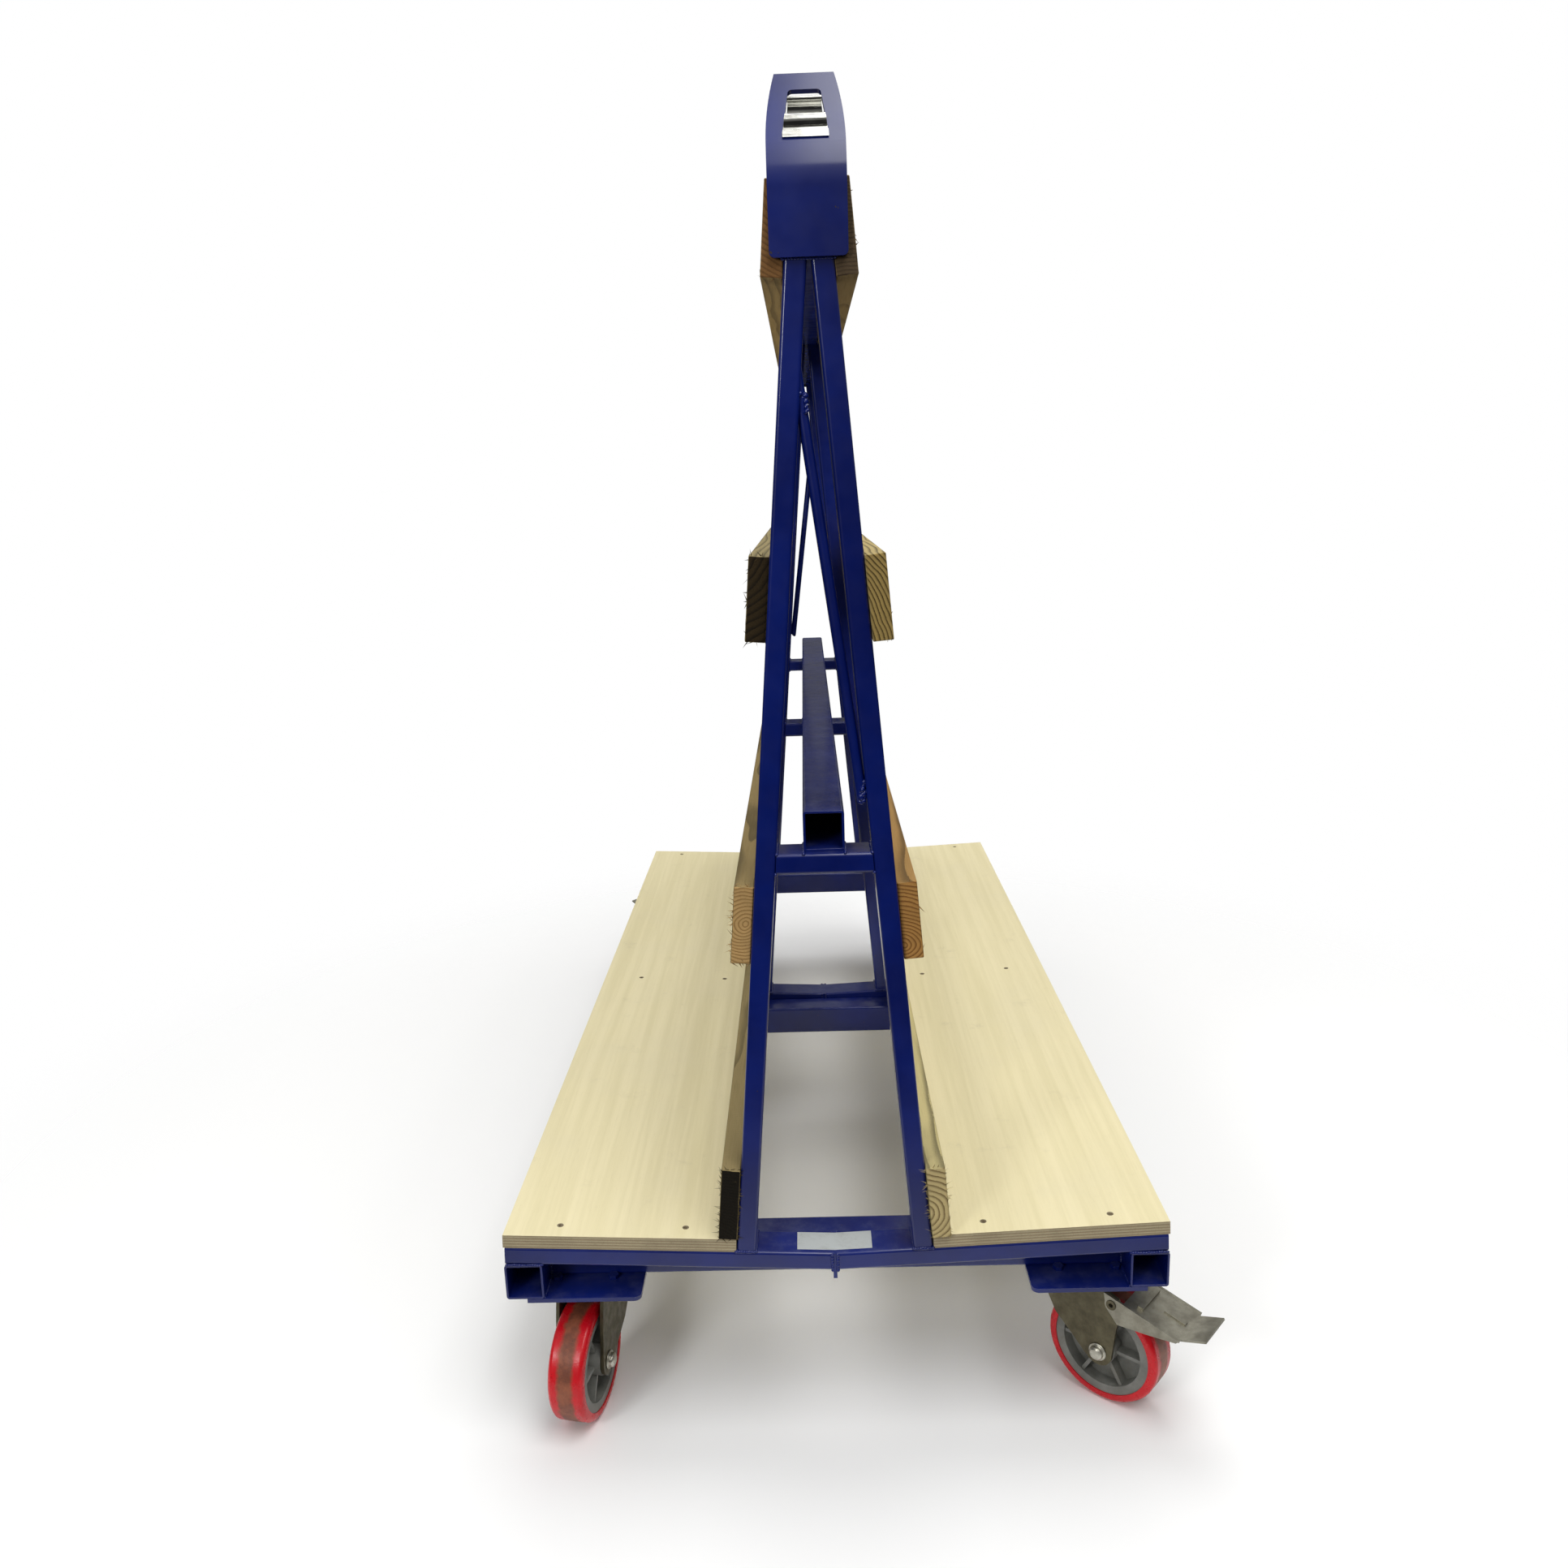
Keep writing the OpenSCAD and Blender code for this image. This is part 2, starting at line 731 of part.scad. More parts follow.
top_plate(0);  // front_right_top_plate
top_plate(1);  // front_left_top_plate
top_plate(2);  // rear_left_top_plate
top_plate(3);  // rear_right_top_plate
fork(0);  // front_right_fork
fork(1);  // front_left_fork
fork(2);  // rear_left_fork
fork(3);  // rear_right_fork
axle(0);  // front_right_axle
axle(1);  // front_left_axle
axle(2);  // rear_left_axle
axle(3);  // rear_right_axle
core(0);  // front_right_core
core(1);  // front_left_core
core(2);  // rear_left_core
core(3);  // rear_right_core
tyre(0);  // front_right_tyre
tyre(1);  // front_left_tyre
tyre(2);  // rear_left_tyre
tyre(3);  // rear_right_tyre
pedal(0);  // front_right_pedal
pedal(2);  // rear_left_pedal
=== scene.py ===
import math
import random

import bmesh
import bpy
from mathutils import Matrix, Vector, noise
from mathutils.geometry import tessellate_polygon


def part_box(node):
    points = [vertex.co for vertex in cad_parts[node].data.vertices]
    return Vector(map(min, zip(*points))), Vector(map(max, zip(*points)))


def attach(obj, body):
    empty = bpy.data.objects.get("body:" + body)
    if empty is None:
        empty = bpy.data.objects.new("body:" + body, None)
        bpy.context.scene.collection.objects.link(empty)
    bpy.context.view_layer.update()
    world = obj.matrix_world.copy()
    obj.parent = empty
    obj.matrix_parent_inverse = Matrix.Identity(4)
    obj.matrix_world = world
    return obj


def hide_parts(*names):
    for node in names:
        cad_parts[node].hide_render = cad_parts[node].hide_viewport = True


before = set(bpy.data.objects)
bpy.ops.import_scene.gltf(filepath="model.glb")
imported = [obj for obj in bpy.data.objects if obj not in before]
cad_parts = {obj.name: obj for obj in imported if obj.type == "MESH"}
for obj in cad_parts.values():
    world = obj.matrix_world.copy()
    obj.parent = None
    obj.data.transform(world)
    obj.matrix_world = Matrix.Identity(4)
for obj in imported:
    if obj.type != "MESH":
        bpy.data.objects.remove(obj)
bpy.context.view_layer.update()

# ---- Where it is seen from ----
# Somebody stands close in front of the trolley's end and looks slightly down on it. The eye is
# held a little off level.
EYE = Vector((-0.01423, -2.3023, 1.2322))
EYE_DOWN, EYE_LEFT, EYE_ROLL = math.radians(13.42), math.radians(-1.26), math.radians(-1.93)
LENS_MM, SENSOR_MM, SEEN_TO = 28.534, 36, 60

ahead = Vector((
    math.sin(EYE_LEFT) * math.cos(EYE_DOWN), math.cos(EYE_LEFT) * math.cos(EYE_DOWN), -math.sin(EYE_DOWN)))
level = Vector((math.cos(EYE_LEFT), -math.sin(EYE_LEFT), 0))
below = ahead.cross(level)
across = level * math.cos(EYE_ROLL) - below * math.sin(EYE_ROLL)
above = -(level * math.sin(EYE_ROLL) + below * math.cos(EYE_ROLL))
lens = bpy.data.cameras.new("eye")
lens.lens, lens.sensor_width, lens.clip_end = LENS_MM, SENSOR_MM, SEEN_TO
eye = bpy.data.objects.new("eye", lens)
eye.matrix_world = Matrix.Translation(EYE) @ Matrix((across, above, -ahead)).transposed().to_4x4()
bpy.context.scene.collection.objects.link(eye)
bpy.context.scene.camera = eye

# ---- Painted steel frame ----
# Square and flat tubes cut to length, welded and sprayed with one coat of blue enamel that is
# thick enough to look wet. Dust settles on what faces up, and handling leaves pale scuffs.

def tone(red, green, blue):
    """A colour given as 0 to 255 values, ready for a shader."""
    shares = (red / 255, green / 255, blue / 255)
    return [((c + 0.055) / 1.055) ** 2.4 if c > 10 / 255 else c / 12.92 for c in shares] + [1]


class Finish:
    """A node finish being put together: its shader and the steps that feed it, all in metres."""

    def __init__(self, name):
        self.made = bpy.data.materials.new(name)
        self.made.use_nodes = True
        self.tree = self.made.node_tree
        self.tree.nodes.clear()
        self.shader = self.step("ShaderNodeBsdfPrincipled")
        out = self.step("ShaderNodeOutputMaterial")
        self.tree.links.new(self.shader.outputs[0], out.inputs["Surface"])
        self.place = self.step("ShaderNodeTexCoord").outputs["Object"]

    def step(self, kind, inputs=None, **settings):
        node = self.tree.nodes.new(kind)
        for key, value in settings.items():
            setattr(node, key, value)
        for key, value in (inputs or {}).items():
            if isinstance(value, bpy.types.NodeSocket):
                self.tree.links.new(value, node.inputs[key])
            else:
                node.inputs[key].default_value = value
        return node

    def stretched(self, scale, turn=(0, 0, 0), move=(0, 0, 0)):
        inputs = {"Vector": self.place, "Scale": scale, "Rotation": turn, "Location": move}
        return self.step("ShaderNodeMapping", inputs).outputs[0]

    def cloud(self, scale, detail=3, rough=0.55, at=None, swirl=0.0):
        spot = self.place if at is None else at
        inputs = {"Vector": spot, "Scale": scale, "Detail": detail, "Roughness": rough, "Distortion": swirl}
        return self.step("ShaderNodeTexNoise", inputs).outputs[0]

    def remap(self, value, low, high, to_low=0.0, to_high=1.0):
        ends = {"Value": value, "From Min": low, "From Max": high, "To Min": to_low, "To Max": to_high}
        return self.step("ShaderNodeMapRange", ends, interpolation_type="SMOOTHSTEP").outputs[0]

    def sums(self, kind, first, second=0.5):
        return self.step("ShaderNodeMath", {0: first, 1: second}, operation=kind).outputs[0]

    def mixed(self, share, first, second, kind="MIX"):
        inputs = {0: share, 6: first, 7: second}
        return self.step("ShaderNodeMix", inputs, data_type="RGBA", blend_type=kind).outputs[2]

    def facing(self, axis):
        normal = self.step("ShaderNodeNewGeometry").outputs["Normal"]
        return self.step("ShaderNodeSeparateXYZ", {0: normal}).outputs[axis]

    def raised(self, height, depth, strength=1.0, over=None):
        inputs = {"Height": height, "Distance": depth, "Strength": strength}
        if over is not None:
            inputs["Normal"] = over
        return self.step("ShaderNodeBump", inputs).outputs[0]

    def wear(self, **sockets):
        names = {"colour": "Base Color", "rough": "Roughness", "bump": "Normal", "metal": "Metallic",
                 "coat": "Coat Weight", "coat_rough": "Coat Roughness", "gloss": "Specular IOR Level"}
        for key, value in sockets.items():
            if isinstance(value, bpy.types.NodeSocket):
                self.tree.links.new(value, self.shader.inputs[names[key]])
            else:
                self.shader.inputs[names[key]].default_value = value
        return self.made


def blue_enamel():
    paint = Finish("blue_enamel")
    body = paint.mixed(paint.remap(paint.cloud(7, 4), 0.35, 0.7), tone(3, 20, 92), tone(7, 30, 114))
    up = paint.remap(paint.facing(2), 0.6, 1.0)
    settling = paint.remap(paint.cloud(30, 7, 0.7), 0.42, 0.74, 0.02, 0.2)
    dust = paint.sums("MULTIPLY", up, settling)
    body = paint.mixed(dust, body, tone(120, 124, 148))
    smears = paint.cloud(60, 5, 0.7, paint.stretched((1, 0.18, 0.3)), 0.6)
    rub = paint.remap(smears, 0.745, 0.80)
    body = paint.mixed(paint.sums("MULTIPLY", rub, 0.3), body, tone(84, 98, 150))
    chip = paint.remap(paint.cloud(190, 2, 0.4), 0.79, 0.805)
    body = paint.mixed(chip, body, tone(58, 50, 48))
    gloss = paint.remap(paint.cloud(40, 4), 0.3, 0.7, 0.3, 0.44)
    rough = paint.sums("ADD", gloss, paint.sums("MULTIPLY", dust, 0.6))
    peel = paint.raised(paint.cloud(300, 2, 0.5), 0.00012, 0.3)
    sags = paint.raised(paint.cloud(12, 2, 0.4, paint.stretched((1, 0.6, 0.6))), 0.0008, 0.15, peel)
    return paint.wear(colour=body, rough=rough, bump=sags, gloss=0.2, coat=0.8, coat_rough=0.15)


BLUE = blue_enamel()
SMOOTH_UNDER = math.radians(50)


def merged_copy(node, dissolve=1.0):
    """A solid's surface with its loose triangles joined up and its flats made whole."""
    shell = bmesh.new()
    shell.from_mesh(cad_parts[node].data)
    bmesh.ops.remove_doubles(shell, verts=shell.verts, dist=1e-5)
    angle = math.radians(dissolve)
    bmesh.ops.dissolve_limit(shell, angle_limit=angle, verts=shell.verts, edges=shell.edges)
    return shell


def round_edges(shell, width, over=35):
    """Breaks every edge that turns by more than the given angle."""
    limit = math.radians(over)
    sharp = [e for e in shell.edges if len(e.link_faces) == 2 and e.calc_face_angle(0) > limit]
    bmesh.ops.bevel(shell, geom=sharp, offset=width, offset_type="OFFSET", segments=2, profile=0.5,
                    affect="EDGES", clamp_overlap=True)


def finished(name, shells, finishes, body, nodes=()):
    """Turns surfaces into one shown piece, lit smoothly, on its body and its finish's slot."""
    mesh = bpy.data.meshes.new(name)
    whole = bmesh.new()
    for shell in shells:
        part = bpy.data.meshes.new("part")
        shell.to_mesh(part)
        shell.free()
        whole.from_mesh(part)
        bpy.data.meshes.remove(part)
    for face in whole.faces:
        face.smooth = True
    for edge in whole.edges:
        edge.smooth = edge.calc_face_angle(0) < SMOOTH_UNDER
    whole.to_mesh(mesh)
    whole.free()
    for finish in finishes:
        mesh.materials.append(finish)
    piece = bpy.data.objects.new(name, mesh)
    bpy.context.scene.collection.objects.link(piece)
    piece.modifiers.new("flats", "WEIGHTED_NORMAL").keep_sharp = True
    return settled(piece, body, nodes)


def settled(piece, body, nodes=()):
    """Makes a piece's modifiers part of its mesh and says what it rides on and stands for."""
    if piece.modifiers:
        bpy.context.view_layer.update()
        seen = bpy.context.evaluated_depsgraph_get()
        mesh = bpy.data.meshes.new_from_object(
            piece.evaluated_get(seen), preserve_all_data_layers=True, depsgraph=seen)
        piece.modifiers.clear()
        piece.data = mesh
        mesh.name = piece.name
    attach(piece, body)
    if nodes:
        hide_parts(*nodes)
    return piece


def softened(name, nodes, width, finish, body):
    """Shows solids as they are, with their edges broken by the given width."""
    shells = []
    for node in nodes:
        shell = merged_copy(node)
        round_edges(shell, width)
        shells.append(shell)
    return finished(name, shells, [finish], body, nodes)


def painted(name, nodes, width):
    softened(f"painted_{name}", nodes, width, BLUE, "frame")


ENDS = ("front", "middle", "rear")
TUBE_EDGE, PLATE_EDGE, HEAD_EDGE = 0.0006, 0.001, 0.0012
for side in ("left", "right"):
    painted(f"side_tube_{side}", [f"side_tube_{side}"], TUBE_EDGE)
    for end in ENDS:
        painted(f"{end}_leg_{side}", [f"{end}_leg_{side}"], TUBE_EDGE)
for end in ENDS:
    painted(f"{end}_cross_tube", [f"{end}_cross_tube"], TUBE_EDGE)
    painted(f"{end}_v_member", [f"{end}_v_member"], TUBE_EDGE)
painted("rungs", ["frame_rungs"], TUBE_EDGE)
painted("centre_beam", ["centre_beam"], TUBE_EDGE)
painted("ridge_beam", ["ridge_beam"], TUBE_EDGE)
painted("brackets", ["caster_brackets"], PLATE_EDGE)
for end in ("front", "rear"):
    painted(f"{end}_head", [f"{end}_head_plate"], HEAD_EDGE)
    painted(f"{end}_brace", [f"{end}_brace"], TUBE_EDGE)

# ---- Weld beads ----
# Hand-run fillets of rippled metal where the tubes meet, painted over with the rest. Each seam is
# a line of overlapping puddles; the braces' ends are tacked on with a lump.
LEAN = math.radians(4.75)
TILT = math.radians(2.5)
TUBE, FLAT, PLY = 0.05, 0.025, 0.018
BEAD_END = 0.002


def inputs_of(modifier, **values):
    """Sets a node tree's inputs by name, through each socket's own identifier."""
    for item in modifier.node_group.interface.items_tree:
        if item.item_type == "SOCKET" and item.in_out == "INPUT" and item.name in values:
            modifier[item.identifier] = values[item.name]


class Recipe:
    """A geometry node tree being put together, with named inputs."""

    def __init__(self, name, **sockets):
        self.tree = bpy.data.node_groups.new(name, "GeometryNodeTree")
        for label, kind in {"Geometry": "Geometry", **sockets}.items():
            self.tree.interface.new_socket(label, in_out="INPUT", socket_type="NodeSocket" + kind)
        self.tree.interface.new_socket("Geometry", in_out="OUTPUT", socket_type="NodeSocketGeometry")
        self.given = self.tree.nodes.new("NodeGroupInput").outputs

    def step(self, kind, inputs=None, **settings):
        node = self.tree.nodes.new(kind)
        for key, value in settings.items():
            setattr(node, key, value)
        for key, value in (inputs or {}).items():
            if isinstance(value, bpy.types.NodeSocket):
                self.tree.links.new(value, node.inputs[key])
            else:
                node.inputs[key].default_value = value
        return node

    def ends_with(self, instances, smooth=True):
        real = self.step("GeometryNodeRealizeInstances", {0: instances}).outputs[0]
        inputs = {"Geometry": real, "Shade Smooth": smooth}
        shaded = self.step("GeometryNodeSetShadeSmooth", inputs).outputs[0]
        inputs = {"Geometry": shaded, "Material": self.given["Finish"]}
        coated = self.step("GeometryNodeSetMaterial", inputs).outputs[0]
        out = self.tree.nodes.new("NodeGroupOutput")
        self.tree.links.new(coated, out.inputs[0])
        return self.tree


def bead_recipe():
    """Puddles along a line, each with its own size, their long axis along the seam."""
    bead = Recipe("weld_bead", Pitch="Float", Width="Float", Seed="Int", Finish="Material")
    path = bead.step("GeometryNodeMeshToCurve", {"Mesh": bead.given["Geometry"]}).outputs[0]
    inputs = {"Curve": path, "Length": bead.given["Pitch"]}
    dots = bead.step("GeometryNodeResampleCurve", inputs, mode="LENGTH").outputs[0]
    inputs = {"Segments": 8, "Rings": 5, "Radius": bead.given["Width"]}
    puddle = bead.step("GeometryNodeMeshUVSphere", inputs).outputs[0]
    inputs = {0: (0.42, 0.42, 0.5), 1: (0.66, 0.62, 0.8), "Seed": bead.given["Seed"]}
    size = bead.step("FunctionNodeRandomValue", inputs, data_type="FLOAT_VECTOR").outputs[0]
    tangent = bead.step("GeometryNodeInputTangent").outputs[0]
    along = bead.step("FunctionNodeAlignRotationToVector", {"Vector": tangent}, axis="Z").outputs[0]
    inputs = {"Points": dots, "Instance": puddle, "Rotation": along, "Scale": size}
    return bead.ends_with(bead.step("GeometryNodeInstanceOnPoints", inputs).outputs[0])


def lines_mesh(name, lines):
    """Open lines through the given points, as bare edges."""
    points, edges = [], []
    for line in lines:
        first = len(points)
        points += [tuple(p) for p in line]
        edges += [(first + i, first + i + 1) for i in range(len(line) - 1)]
    mesh = bpy.data.meshes.new(name)
    mesh.from_pydata(points, edges, [])
    piece = bpy.data.objects.new(name, mesh)
    bpy.context.scene.collection.objects.link(piece)
    return piece


BEAD = bead_recipe()


def welded(name, lines, width, pitch, seed):
    piece = lines_mesh(name, lines)
    run = piece.modifiers.new("bead", "NODES")
    run.node_group = BEAD
    inputs_of(run, Pitch=pitch, Width=width, Seed=seed, Finish=BLUE)
    return settled(piece, "frame")


def ring(points):
    return points + points[:1]


def leg_line(end):
    """Outer face of a right leg: its x at a height, from the leg's own box."""
    low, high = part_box(f"{end}_leg_right")
    return lambda z: high[0] - (z - low[2] - 0.001) * math.tan(LEAN)


deck_low, deck_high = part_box("deck_right")
tube_low, tube_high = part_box("side_tube_right")


def slope_z(x, below_top):
    """Height on the sloping arms at a distance from the middle, measured down from the decks' top."""
    return deck_high[2] - (deck_high[0] - x) * math.tan(TILT) - below_top


def frame_seams(end):
    """Every seam of one A-frame and its cross member."""
    lines = []
    low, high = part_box(f"{end}_leg_right")
    y0, y1 = low[1], high[1]
    outer = leg_line(end)
    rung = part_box("centre_beam")[0][2]
    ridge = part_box("ridge_beam")[0][2]
    edge, deck_foot = tube_low[0], tube_high[2]

    def across(x, z):
        lines.append([Vector((x, y0 + BEAD_END, z)), Vector((x, y1 - BEAD_END, z))])

    for side in (-1, 1):
        xo, xi = outer(low[2]), outer(low[2]) - FLAT
        zo, zi = slope_z(xo, PLY), slope_z(xi, PLY)
        corners = ((xo, y0, zo), (xo, y1, zo), (xi, y1, zi), (xi, y0, zi))
        lines.append(ring([Vector((side * x, y, z)) for x, y, z in corners]))
        for z in (rung, rung - FLAT):
            across(side * (outer(z) - FLAT - 0.0003), z)
        across(side * TUBE / 2, rung)
        across(side * edge, deck_foot)
        for y in (y0, y1):
            lines.append([Vector((side * (edge + 0.002), y, deck_foot)),
                          Vector((side * (edge + TUBE - 0.004), y, deck_foot + 0.001))])
            lines.append([Vector((side * 0.0035, y, slope_z(0, 0.042))),
                          Vector((side * 0.0035, y, slope_z(0, 0.02)))])
        across(side * 0.0205, ridge)
    return lines


def tube_seams():
    """Cross tubes and caster plates against the side tubes."""
    lines = []
    x = tube_low[0]
    bracket_low, bracket_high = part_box("caster_brackets")
    front, top = abs(bracket_low[1]), bracket_high[2]
    for side in (-1, 1):
        for end in ENDS:
            low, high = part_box(f"{end}_cross_tube")
            corners = ((low[1], low[2]), (high[1], low[2]), (high[1], high[2]), (low[1], high[2]))
            lines.append(ring([Vector((side * x, y, z)) for y, z in corners]))
        for turn in (-1, 1):
            y0, y1 = turn * (front - 0.17), turn * (front - 0.004)
            lines.append([Vector((side * x, y, top)) for y in (y0, (y0 + y1) / 2, y1)])
    return lines


def head_seams(end, turn):
    """The head plate against the ridge beam and across both legs."""
    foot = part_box(f"{end}_head_plate")[0][2] - 0.0005
    low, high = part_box("ridge_beam")
    y = turn * abs(low[1])
    lines = [[Vector((side * 0.0205, y, low[2] + 0.004)), Vector((side * 0.0205, y, high[2] - 0.004))]
             for side in (-1, 1)]
    lines.append([Vector((-0.028, y, foot)), Vector((0.028, y, foot))])
    return lines


for number, end in enumerate(ENDS):
    welded(f"weld_{end}_frame", frame_seams(end), 0.0042, 0.0032, 10 + number)
welded("weld_base", tube_seams(), 0.0042, 0.0034, 20)
welded("weld_heads", head_seams("front", -1) + head_seams("rear", 1), 0.004, 0.0032, 30)

BRACE_TOP = Vector((-0.0115, -0.866, 1.322))
BRACE_FOOT = Vector((0.049, -0.866, 0.877))


def tack(centre, reach, count, seed):
    """A short zigzag of puddles that makes one lump."""
    pick = random.Random(seed)
    return [centre + Vector([pick.uniform(-1, 1) * r for r in reach]) for _ in range(count)]


TACK_REACH, TACK_COUNT = (0.006, 0.004, 0.013), 14
tacks = []
for turn in (1, -1):
    half = Matrix.Diagonal((turn, turn, 1))
    for spot, seed in ((BRACE_TOP, 3), (BRACE_FOOT, 7)):
        tacks.append([half @ p for p in tack(spot, TACK_REACH, TACK_COUNT, seed)])
welded("weld_brace_tacks", tacks, 0.006, 0.006, 40)

# ---- Plywood decks ----
# Two boards of 18 mm plywood, one along each side, screwed down on the sloping arms. The faces
# are pale, even veneer with long grain, and the sawn edges show the plies between glue lines.

def ply_face():
    ply = Finish("ply_face")
    streak = ply.cloud(1, 5, 0.6, ply.stretched((60, 1.6, 60)), 0.3)
    fibre = ply.cloud(1, 3, 0.6, ply.stretched((1500, 40, 1500)))
    body = ply.mixed(ply.remap(streak, 0.3, 0.72), tone(232, 221, 180), tone(222, 211, 168))
    body = ply.mixed(ply.remap(ply.cloud(5, 5, 0.6), 0.42, 0.75, 0, 0.4), body, tone(222, 212, 176))
    pores = ply.sums("MULTIPLY", ply.remap(fibre, 0.55, 0.8), 0.25)
    body = ply.mixed(pores, body, tone(190, 173, 128))
    grime = ply.remap(ply.cloud(14, 7, 0.7), 0.58, 0.8, 0, 0.3)
    body = ply.mixed(grime, body, tone(176, 165, 134))
    rough = ply.remap(streak, 0.3, 0.7, 0.62, 0.8)
    bump = ply.raised(fibre, 0.0003, 0.35, ply.raised(streak, 0.0003, 0.2))
    return ply.wear(colour=body, rough=rough, bump=bump, gloss=0.25)


def ply_edge(side, plane):
    edge = Finish(f"ply_edge_{side}")
    turn = TILT if side == "right" else -TILT
    spot = edge.stretched((1, 1, 1), (0, turn, 0), (0, 0, plane))
    inputs = {"Vector": spot, "Scale": 78.5, "Distortion": 0.25, "Detail": 2, "Detail Scale": 60}
    plies = edge.step("ShaderNodeTexWave", inputs, wave_type="BANDS", bands_direction="Z",
                      wave_profile="SIN").outputs[1]
    pores = edge.cloud(1, 3, 0.6, edge.stretched((900, 220, 500)))
    body = edge.mixed(edge.remap(plies, 0.3, 0.7), tone(163, 147, 118), tone(186, 173, 142))
    from_glue = edge.sums("ABSOLUTE", edge.sums("SUBTRACT", plies, 0.5))
    body = edge.mixed(edge.remap(from_glue, 0.0, 0.10, 0.4, 0), body, tone(116, 98, 74))
    body = edge.mixed(edge.remap(pores, 0.5, 0.78, 0, 0.45), body, tone(128, 110, 82))
    body = edge.mixed(edge.remap(edge.cloud(18, 5), 0.45, 0.75, 0, 0.4), body, tone(136, 124, 100))
    bump = edge.raised(pores, 0.0005, 0.8, edge.raised(plies, 0.0005, 0.6))
    return edge.wear(colour=body, rough=0.82, bump=bump, gloss=0.2)


VENEER = ply_face()


def deck_board(side, turn):
    shell = merged_copy(f"deck_{side}")
    round_edges(shell, 0.0007)
    up = Vector((-turn * math.sin(TILT), 0, math.cos(TILT)))
    for face in shell.faces:
        face.material_index = 0 if abs(face.normal.dot(up)) > 0.8 else 1
    corner = Vector((turn * deck_high[0], 0, slope_z(deck_high[0], 0)))
    looks = [VENEER, ply_edge(side, 0.0005 - corner.dot(up))]
    finished(f"ply_deck_{side}", [shell], looks, "frame", [f"deck_{side}"])


deck_board("left", -1)
deck_board("right", 1)

# ---- Battens ----
# Rough-sawn boards, 100 by 25 mm, four up each side. No two are from one tree: each has its own
# colour and its own place in the log, so the rings on the ends all curve differently.

def sawn_timber(name, centre, turn, face, end, late, pith, ring, strength):
    """Timber cut at one place in the log. pith is the log's middle, seen from the board's middle."""
    def darker(colour, share, add=0):
        return tone(*[c * share + add for c in colour])

    wood = Finish(name)
    spin = Matrix.Rotation(turn * LEAN, 3, "Y")
    away = Vector((pith[0], 0, pith[1]))
    spot = wood.stretched((1, 1, 1), (0, turn * LEAN, 0), -(spin @ centre) - away)
    inputs = {"Vector": wood.stretched((9, 1.6, 9)), "Scale": 1.0, "Detail": 3.0}
    drift = wood.step("ShaderNodeTexNoise", inputs).outputs[1]
    inputs = {0: drift, 1: (0.5, 0.5, 0.5)}
    drift = wood.step("ShaderNodeVectorMath", inputs, operation="SUBTRACT").outputs[0]
    drift = wood.step("ShaderNodeVectorMath", {0: drift, "Scale": 0.03}, operation="SCALE").outputs[0]
    spot = wood.step("ShaderNodeVectorMath", {0: spot, 1: drift}, operation="ADD").outputs[0]
    inputs = {"Vector": spot, "Scale": 0.3142 / ring, "Distortion": 0.7, "Detail": 3, "Detail Scale": 14}
    rings = wood.step("ShaderNodeTexWave", inputs, wave_type="RINGS", rings_direction="Y",
                      wave_profile="SAW").outputs[1]
    end_on = wood.remap(wood.sums("ABSOLUTE", wood.facing(1)), 0.5, 0.8)
    fibre = wood.cloud(1, 5, 0.65, wood.stretched((700, 18, 700)))
    broad = wood.cloud(1, 4, 0.6, wood.stretched((38, 2.2, 38)))
    base = wood.mixed(end_on, tone(*face), tone(*end))
    line = wood.mixed(end_on, darker(face, 0.62), tone(*late))
    share = wood.sums("MULTIPLY", wood.remap(rings, 0.4, 0.95), strength)
    body = wood.mixed(share, base, line)
    stain = wood.mixed(end_on, darker(face, 0.72), darker(end, 0.8))
    body = wood.mixed(wood.remap(broad, 0.4, 0.75, 0, 0.35), body, stain)
    body = wood.mixed(wood.remap(fibre, 0.52, 0.8, 0, 0.35), body, darker(end, 0.5))
    grey = wood.remap(wood.cloud(11, 6, 0.7), 0.55, 0.8, 0, 0.3)
    body = wood.mixed(grey, body, darker(end, 0.6, 18))
    marks = wood.stretched((0.15, 1, 0.25))
    inputs = {"Vector": marks, "Scale": 88, "Distortion": 1.5, "Detail": 2, "Detail Scale": 5}
    saw = wood.step("ShaderNodeTexWave", inputs, wave_type="BANDS", bands_direction="Y",
                    wave_profile="TRI").outputs[1]
    bump = wood.raised(saw, 0.0004, 0.35)
    bump = wood.raised(fibre, 0.0007, 0.8, bump)
    bump = wood.raised(rings, 0.0004, 0.5, bump)
    return wood.wear(colour=body, rough=wood.remap(fibre, 0.3, 0.7, 0.78, 0.95), bump=bump, gloss=0.2)


BOARD_T, BOARD_W = 0.025, 0.1
